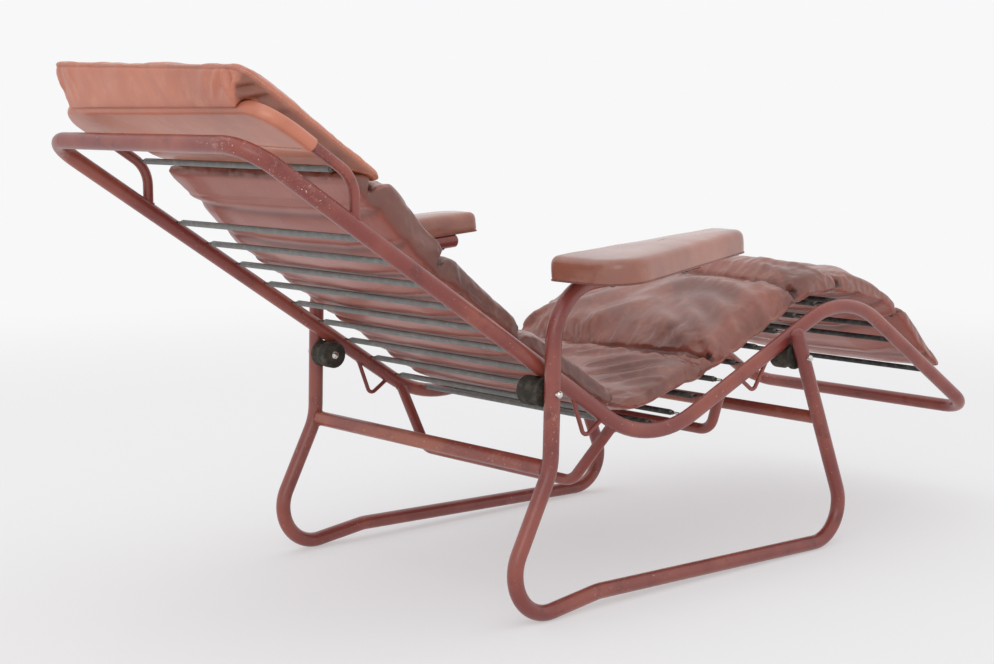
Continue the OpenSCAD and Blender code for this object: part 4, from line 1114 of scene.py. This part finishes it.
def rim_line(rise, step):
    """The closed line of the rolled rim's seam, before it is brought to the leather."""
    half, low, high = PILLOW_HALF_W, PILLOW_FOOT, PILLOW_HEAD
    corners = ((half, high, 0), (-half, high, 90), (-half, low, 180), (half, low, 270))
    line = []
    for cx, cs, first in corners:
        mx, ms = cx - math.copysign(RIM_CORNER, cx), cs - math.copysign(RIM_CORNER, cs - 800 * MM)
        for k in range(10):
            a = math.radians(first + 10 * k)
            line.append((mx + RIM_CORNER * math.cos(a), ms + RIM_CORNER * math.sin(a)))
    full = []
    for k, p in enumerate(line):
        q = line[(k + 1) % len(line)]
        steps = max(1, round(math.dist(p, q) / step))
        full += [(p[0] + (q[0] - p[0]) * j / steps, p[1] + (q[1] - p[1]) * j / steps) for j in range(steps)]
    return [(x, *back_at(s + PILLOW_SKEW * x, ROLL_SEAM + rise)) for x, s in full]


def stitches(name, line, radius):
    """A row of thread stitches, each from one point of a line most of the way to the next."""
    rows = []
    for a, b in zip(line, line[1:]):
        a, b = Vector(a), Vector(b)
        rows.append(wire("stitch", [a + (b - a) * 0.15, a + (b - a) * 0.85], radius, 1))
    return joined(rows, name)


rim_run = snapped(head_pillow, rim_line(4 * MM, 6 * MM), 0.1 * MM)
rim_thread = stitches("pillow_rim_thread", rim_run, 0.45 * MM)


def pocket_ring(s, steps=28):
    """The pocket's closed section at one place of the back run, as (x, height) pairs round it."""
    drop = min(POCKET_CORNER, max(0.0, s - (HOOP_TOP + POCKET_R - POCKET_CORNER)))
    half = LOOP_HALF_W + POCKET_R - (POCKET_CORNER - math.sqrt(max(POCKET_CORNER**2 - drop**2, 0)))
    thick = POCKET_R
    near_top = s - HOOP_TOP
    if near_top > 0:
        thick = POCKET_R * math.sqrt(max(1 - (near_top / POCKET_R) ** 2, 0.01))
    turns = [math.pi * k / 10 for k in range(11)]
    ring = [(half - thick + thick * math.sin(a), -thick * math.cos(a)) for a in turns]
    across = [half - thick - 2 * (half - thick) * k / steps for k in range(1, steps)]
    ring += [(x, thick) for x in across]
    ring += [(-x, -h) for x, h in ring[:11]]
    ring += [(-x, -thick) for x in across]
    return ring


def pillow_pocket():
    """The leather pocket round the hoop, open toward the seat, with a turned hem at its mouth."""
    places = [POCKET_FOOT + k * MM for k in POCKET_STEPS]
    places += [HOOP_TOP + POCKET_R * math.sin(math.radians(a)) for a in POCKET_TURNS]
    points = []
    count = len(pocket_ring(places[0]))
    for s in places:
        for x, h in pocket_ring(s):
            hem = 1 if s - POCKET_FOOT < HEM_W else 0
            skew = PILLOW_SKEW * 1.2 * x * max(0, 1 - (s - POCKET_FOOT) / (60 * MM))
            mid = 1 - (x / (290 * MM)) ** 2
            belly = 2.6 * MM * mid * math.sin(math.pi * min(1, (s - POCKET_FOOT) / (80 * MM))) if h < 0 else 0
            wave = noise.noise(Vector((x * 9, s * 16, h * 40))) * 1.1 * MM
            puff = hem * 0.8 * MM + belly + abs(wave) if h < 0 else 0
            points.append((x, *back_at(s + skew, HOOP_LIFT + h - puff)))
    top_face = tuple((len(places) - 1) * count + k for k in range(count))
    piece = new_mesh("pillow_pocket", points, quads(len(places), count) + [top_face])
    apply_modifier(piece, "SOLIDIFY", thickness=1.3 * MM, offset=0.0, use_rim=True)
    apply_modifier(piece, "SUBSURF", levels=1, render_levels=1)
    return smooth(piece, 80)


pocket = pillow_pocket()
hem_run = []
for x in range(-266, 267, 7):
    s = HEM_LINE + PILLOW_SKEW * 1.1 * x * MM
    hem_run.append((x * MM, *back_at(s, HOOP_LIFT - POCKET_R - 1.2 * MM)))
hem_thread = stitches("pocket_hem_thread", snapped(pocket, hem_run, 0.2 * MM), 0.55 * MM)


# Arm pads: leather drawn over the board and down its sides, closed below by a welt

# How far outside the board's edge, and how far over its face, each round of the pad runs, in millimetres
ARM_LEVELS = [
    (0.5, 0.3), (0.5, -9.4), (1.2, -9.8), (2.2, -9.6), (2.8, -7), (3.0, -2), (3.1, 5), (3.0, 11), (2.4, 16),
    (1.0, 20), (-1.5, 23), (-5, 25.3), (-9, 26.6),
]
# The rounds that close it above: each one's share of the outline, and its height
ARM_TOP_SHARES = [(0.86, 28), (0.6, 29.4), (0.3, 30.1), (0.04, 30.3)]
ARM_LOW_SHARES = (0.04, 0.5, 0.9)
WELT_OUT, WELT_UP, WELT_R = 2.4 * MM, -9.9 * MM, 1.2 * MM


def loop_round(points, up, step):
    """The closed loop through points, walked evenly, with its outward direction at each."""
    middle = points.mean(axis=0)
    side = np.cross(up, [0, 1.0, 0])
    side /= np.linalg.norm(side)
    ahead = np.cross(side, up)
    flat = points - middle
    order = np.argsort(np.arctan2(flat @ ahead, flat @ side))
    ring = [points[order[0]]]
    for k in order[1:]:
        if np.linalg.norm(points[k] - ring[-1]) > 0.1 * MM:
            ring.append(points[k])
    ring = np.array(ring)
    ends = np.roll(ring, -1, axis=0)
    lengths = np.linalg.norm(ends - ring, axis=1)
    total = lengths.sum()
    count = int(round(total / step))
    starts = np.concatenate([[0], np.cumsum(lengths)])
    walked = []
    for d in np.linspace(0, total, count, endpoint=False):
        k = min(np.searchsorted(starts, d, side="right") - 1, len(ring) - 1)
        walked.append(ring[k] + (ends[k] - ring[k]) * (d - starts[k]) / max(lengths[k], 1e-9))
    walked = np.array(walked)
    run = np.roll(walked, -1, axis=0) - np.roll(walked, 1, axis=0)
    out = np.cross(run, up)
    out /= np.linalg.norm(out, axis=1, keepdims=True)
    if ((walked - middle) * out).sum() < 0:
        out = -out
    return walked, out


def arm_form(side):
    """One arm pad drawn over its board, and the welt round the board's lower edge."""
    board = nodes["arm_board_" + side]
    face = max((f for f in board.data.polygons if f.normal.z > 0.5), key=lambda f: f.area)
    up = np.array(face.normal)
    corners = points_of(board)
    height = corners @ up
    rim, out = loop_round(corners[height > height.max() - 0.1 * MM], up, 6 * MM)
    rings = [rim + out * a * MM + up * h * MM for a, h in ARM_LEVELS]
    last = rings[-1] - up * ARM_LEVELS[-1][1] * MM
    middle = last.mean(axis=0)
    rings += [middle + (last - middle) * share + up * h * MM for share, h in ARM_TOP_SHARES]
    base = middle + up * ARM_LEVELS[0][1] * MM
    low = [base + (rings[0] - base) * share for share in ARM_LOW_SHARES]
    rings = low + rings
    pad = new_mesh(f"arm_pad_{side}_leather", np.concatenate(rings), closed_skin(len(rings), len(rim)))
    apply_modifier(pad, "SUBSURF", levels=1, render_levels=1)
    co, n = points_of(pad), normals_of(pad)
    soft, fine = ripple(co, 14, 4), ripple(co, 55, 6)
    outside = np.clip(n @ up * 3 + 1.6, 0, 1) * np.clip(((co @ up) - height.max()) / (6 * MM), 0, 1)
    set_points(pad, co + n * (outside * (1.1 * MM * soft + 0.3 * MM * fine))[:, None])
    line = rim + out * WELT_OUT + up * WELT_UP
    welt = wire(f"arm_welt_{side}", [Vector(p) for p in line], WELT_R, 2, closed=True)
    return pad, smooth(welt, 80)


arm_pads, arm_welts = {}, {}
for side in ("left", "right"):
    arm_pads[side], arm_welts[side] = arm_form(side)

for piece, node, leather, fill in (
    (mattress_back, "mattress_back", MATTRESS_LEATHER, 0.55),
    (mattress_seat, "mattress_seat", MATTRESS_LEATHER, 0.6),
    (head_pillow, "head_pillow", PILLOW_LEATHER, 0.6),
    (arm_pads["left"], "arm_pad_left", ARM_LEATHER, 0.9),
    (arm_pads["right"], "arm_pad_right", ARM_LEATHER, 0.9),
):
    dress(piece, leather)
    smooth(piece, 80)
    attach(piece, "base" if node.startswith("arm") else "lounge")
    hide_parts(node)

for side, welt in arm_welts.items():
    dress(welt, PIPING_LEATHER)
    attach(welt, "base")

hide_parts("pillow_sleeve")
for piece, finish in ((pocket, PILLOW_LEATHER), (rim_thread, THREAD), (hem_thread, THREAD)):
    dress(piece, finish)
    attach(piece, "lounge")


# Floor, light and camera

FLOOR_R = 9
FADE_FROM, FADE_TO = 1.6, 4.2
FLOOR_GLOW = 0.45


def pale_floor():
    """A round floor that fades into the backdrop's tone."""
    bpy.ops.object.select_all(action="DESELECT")
    bpy.ops.mesh.primitive_circle_add(vertices=96, radius=FLOOR_R, fill_type="NGON", location=(0, 0, 0))
    floor = bpy.context.object
    floor.name = "floor"
    f = Finish("floor_paper")
    gap = f.node("VectorMath", {"operation": "LENGTH"}, {0: f.place}, out="Value")
    fade = gap.over(FADE_FROM, FADE_TO)
    matte = f.node("BsdfDiffuse", {}, {"Color": tone(236, 236, 237)})
    glow = f.node("Emission", {}, {"Color": tone(238, 237, 238)})
    lit = f.node("MixShader", {}, {0: FLOOR_GLOW, 1: matte, 2: glow})
    clear = f.node("BsdfTransparent", {}, {})
    mixed = f.node("MixShader", {}, {0: fade, 1: lit, 2: clear})
    floor.data.materials.append(f.ends_in(mixed))


def soft_light(name, place, aim, size, power):
    """A lamp as broad as size, turned to what it lights."""
    light = bpy.data.lights.new(name, "AREA")
    light.shape = "RECTANGLE"
    light.size, light.size_y = size
    light.energy = power
    lamp = linked(name, light)
    lamp.location = place
    lamp.rotation_euler = (Vector(aim) - Vector(place)).to_track_quat("-Z", "Y").to_euler()


pale_floor()
world = bpy.data.worlds.new("studio")
bpy.context.scene.world = world
world.use_nodes = True
world.node_tree.nodes["Background"].inputs["Color"].default_value = tone(248, 248, 249)
world.node_tree.nodes["Background"].inputs["Strength"].default_value = 1.0
soft_light("overhead", (0.4, 0.6, 3.6), (0, 0, 0.4), (4.2, 3.6), 12)
soft_light("key", (-2.6, 3.2, 2.2), (0, 0.2, 0.5), (2.6, 2.2), 26)

CAMERA_PLACE = (-2.1607, 2.0642, 0.7681)
LOOK = Vector((0.74356, -0.65632, -0.12793))
SKY = Vector((0.09463, -0.08610, 0.99178))
LENS = 62.88

camera_data = bpy.data.cameras.new("camera")
camera_data.lens = LENS
camera_data.sensor_width = 36
camera = linked("camera", camera_data)
right = LOOK.cross(SKY).normalized()
up = right.cross(LOOK).normalized()
facing = Matrix((right, up, -LOOK.normalized())).transposed()
camera.matrix_world = Matrix.Translation(CAMERA_PLACE) @ facing.to_4x4()
bpy.context.scene.camera = camera
bpy.context.scene.view_settings.view_transform = "Standard"
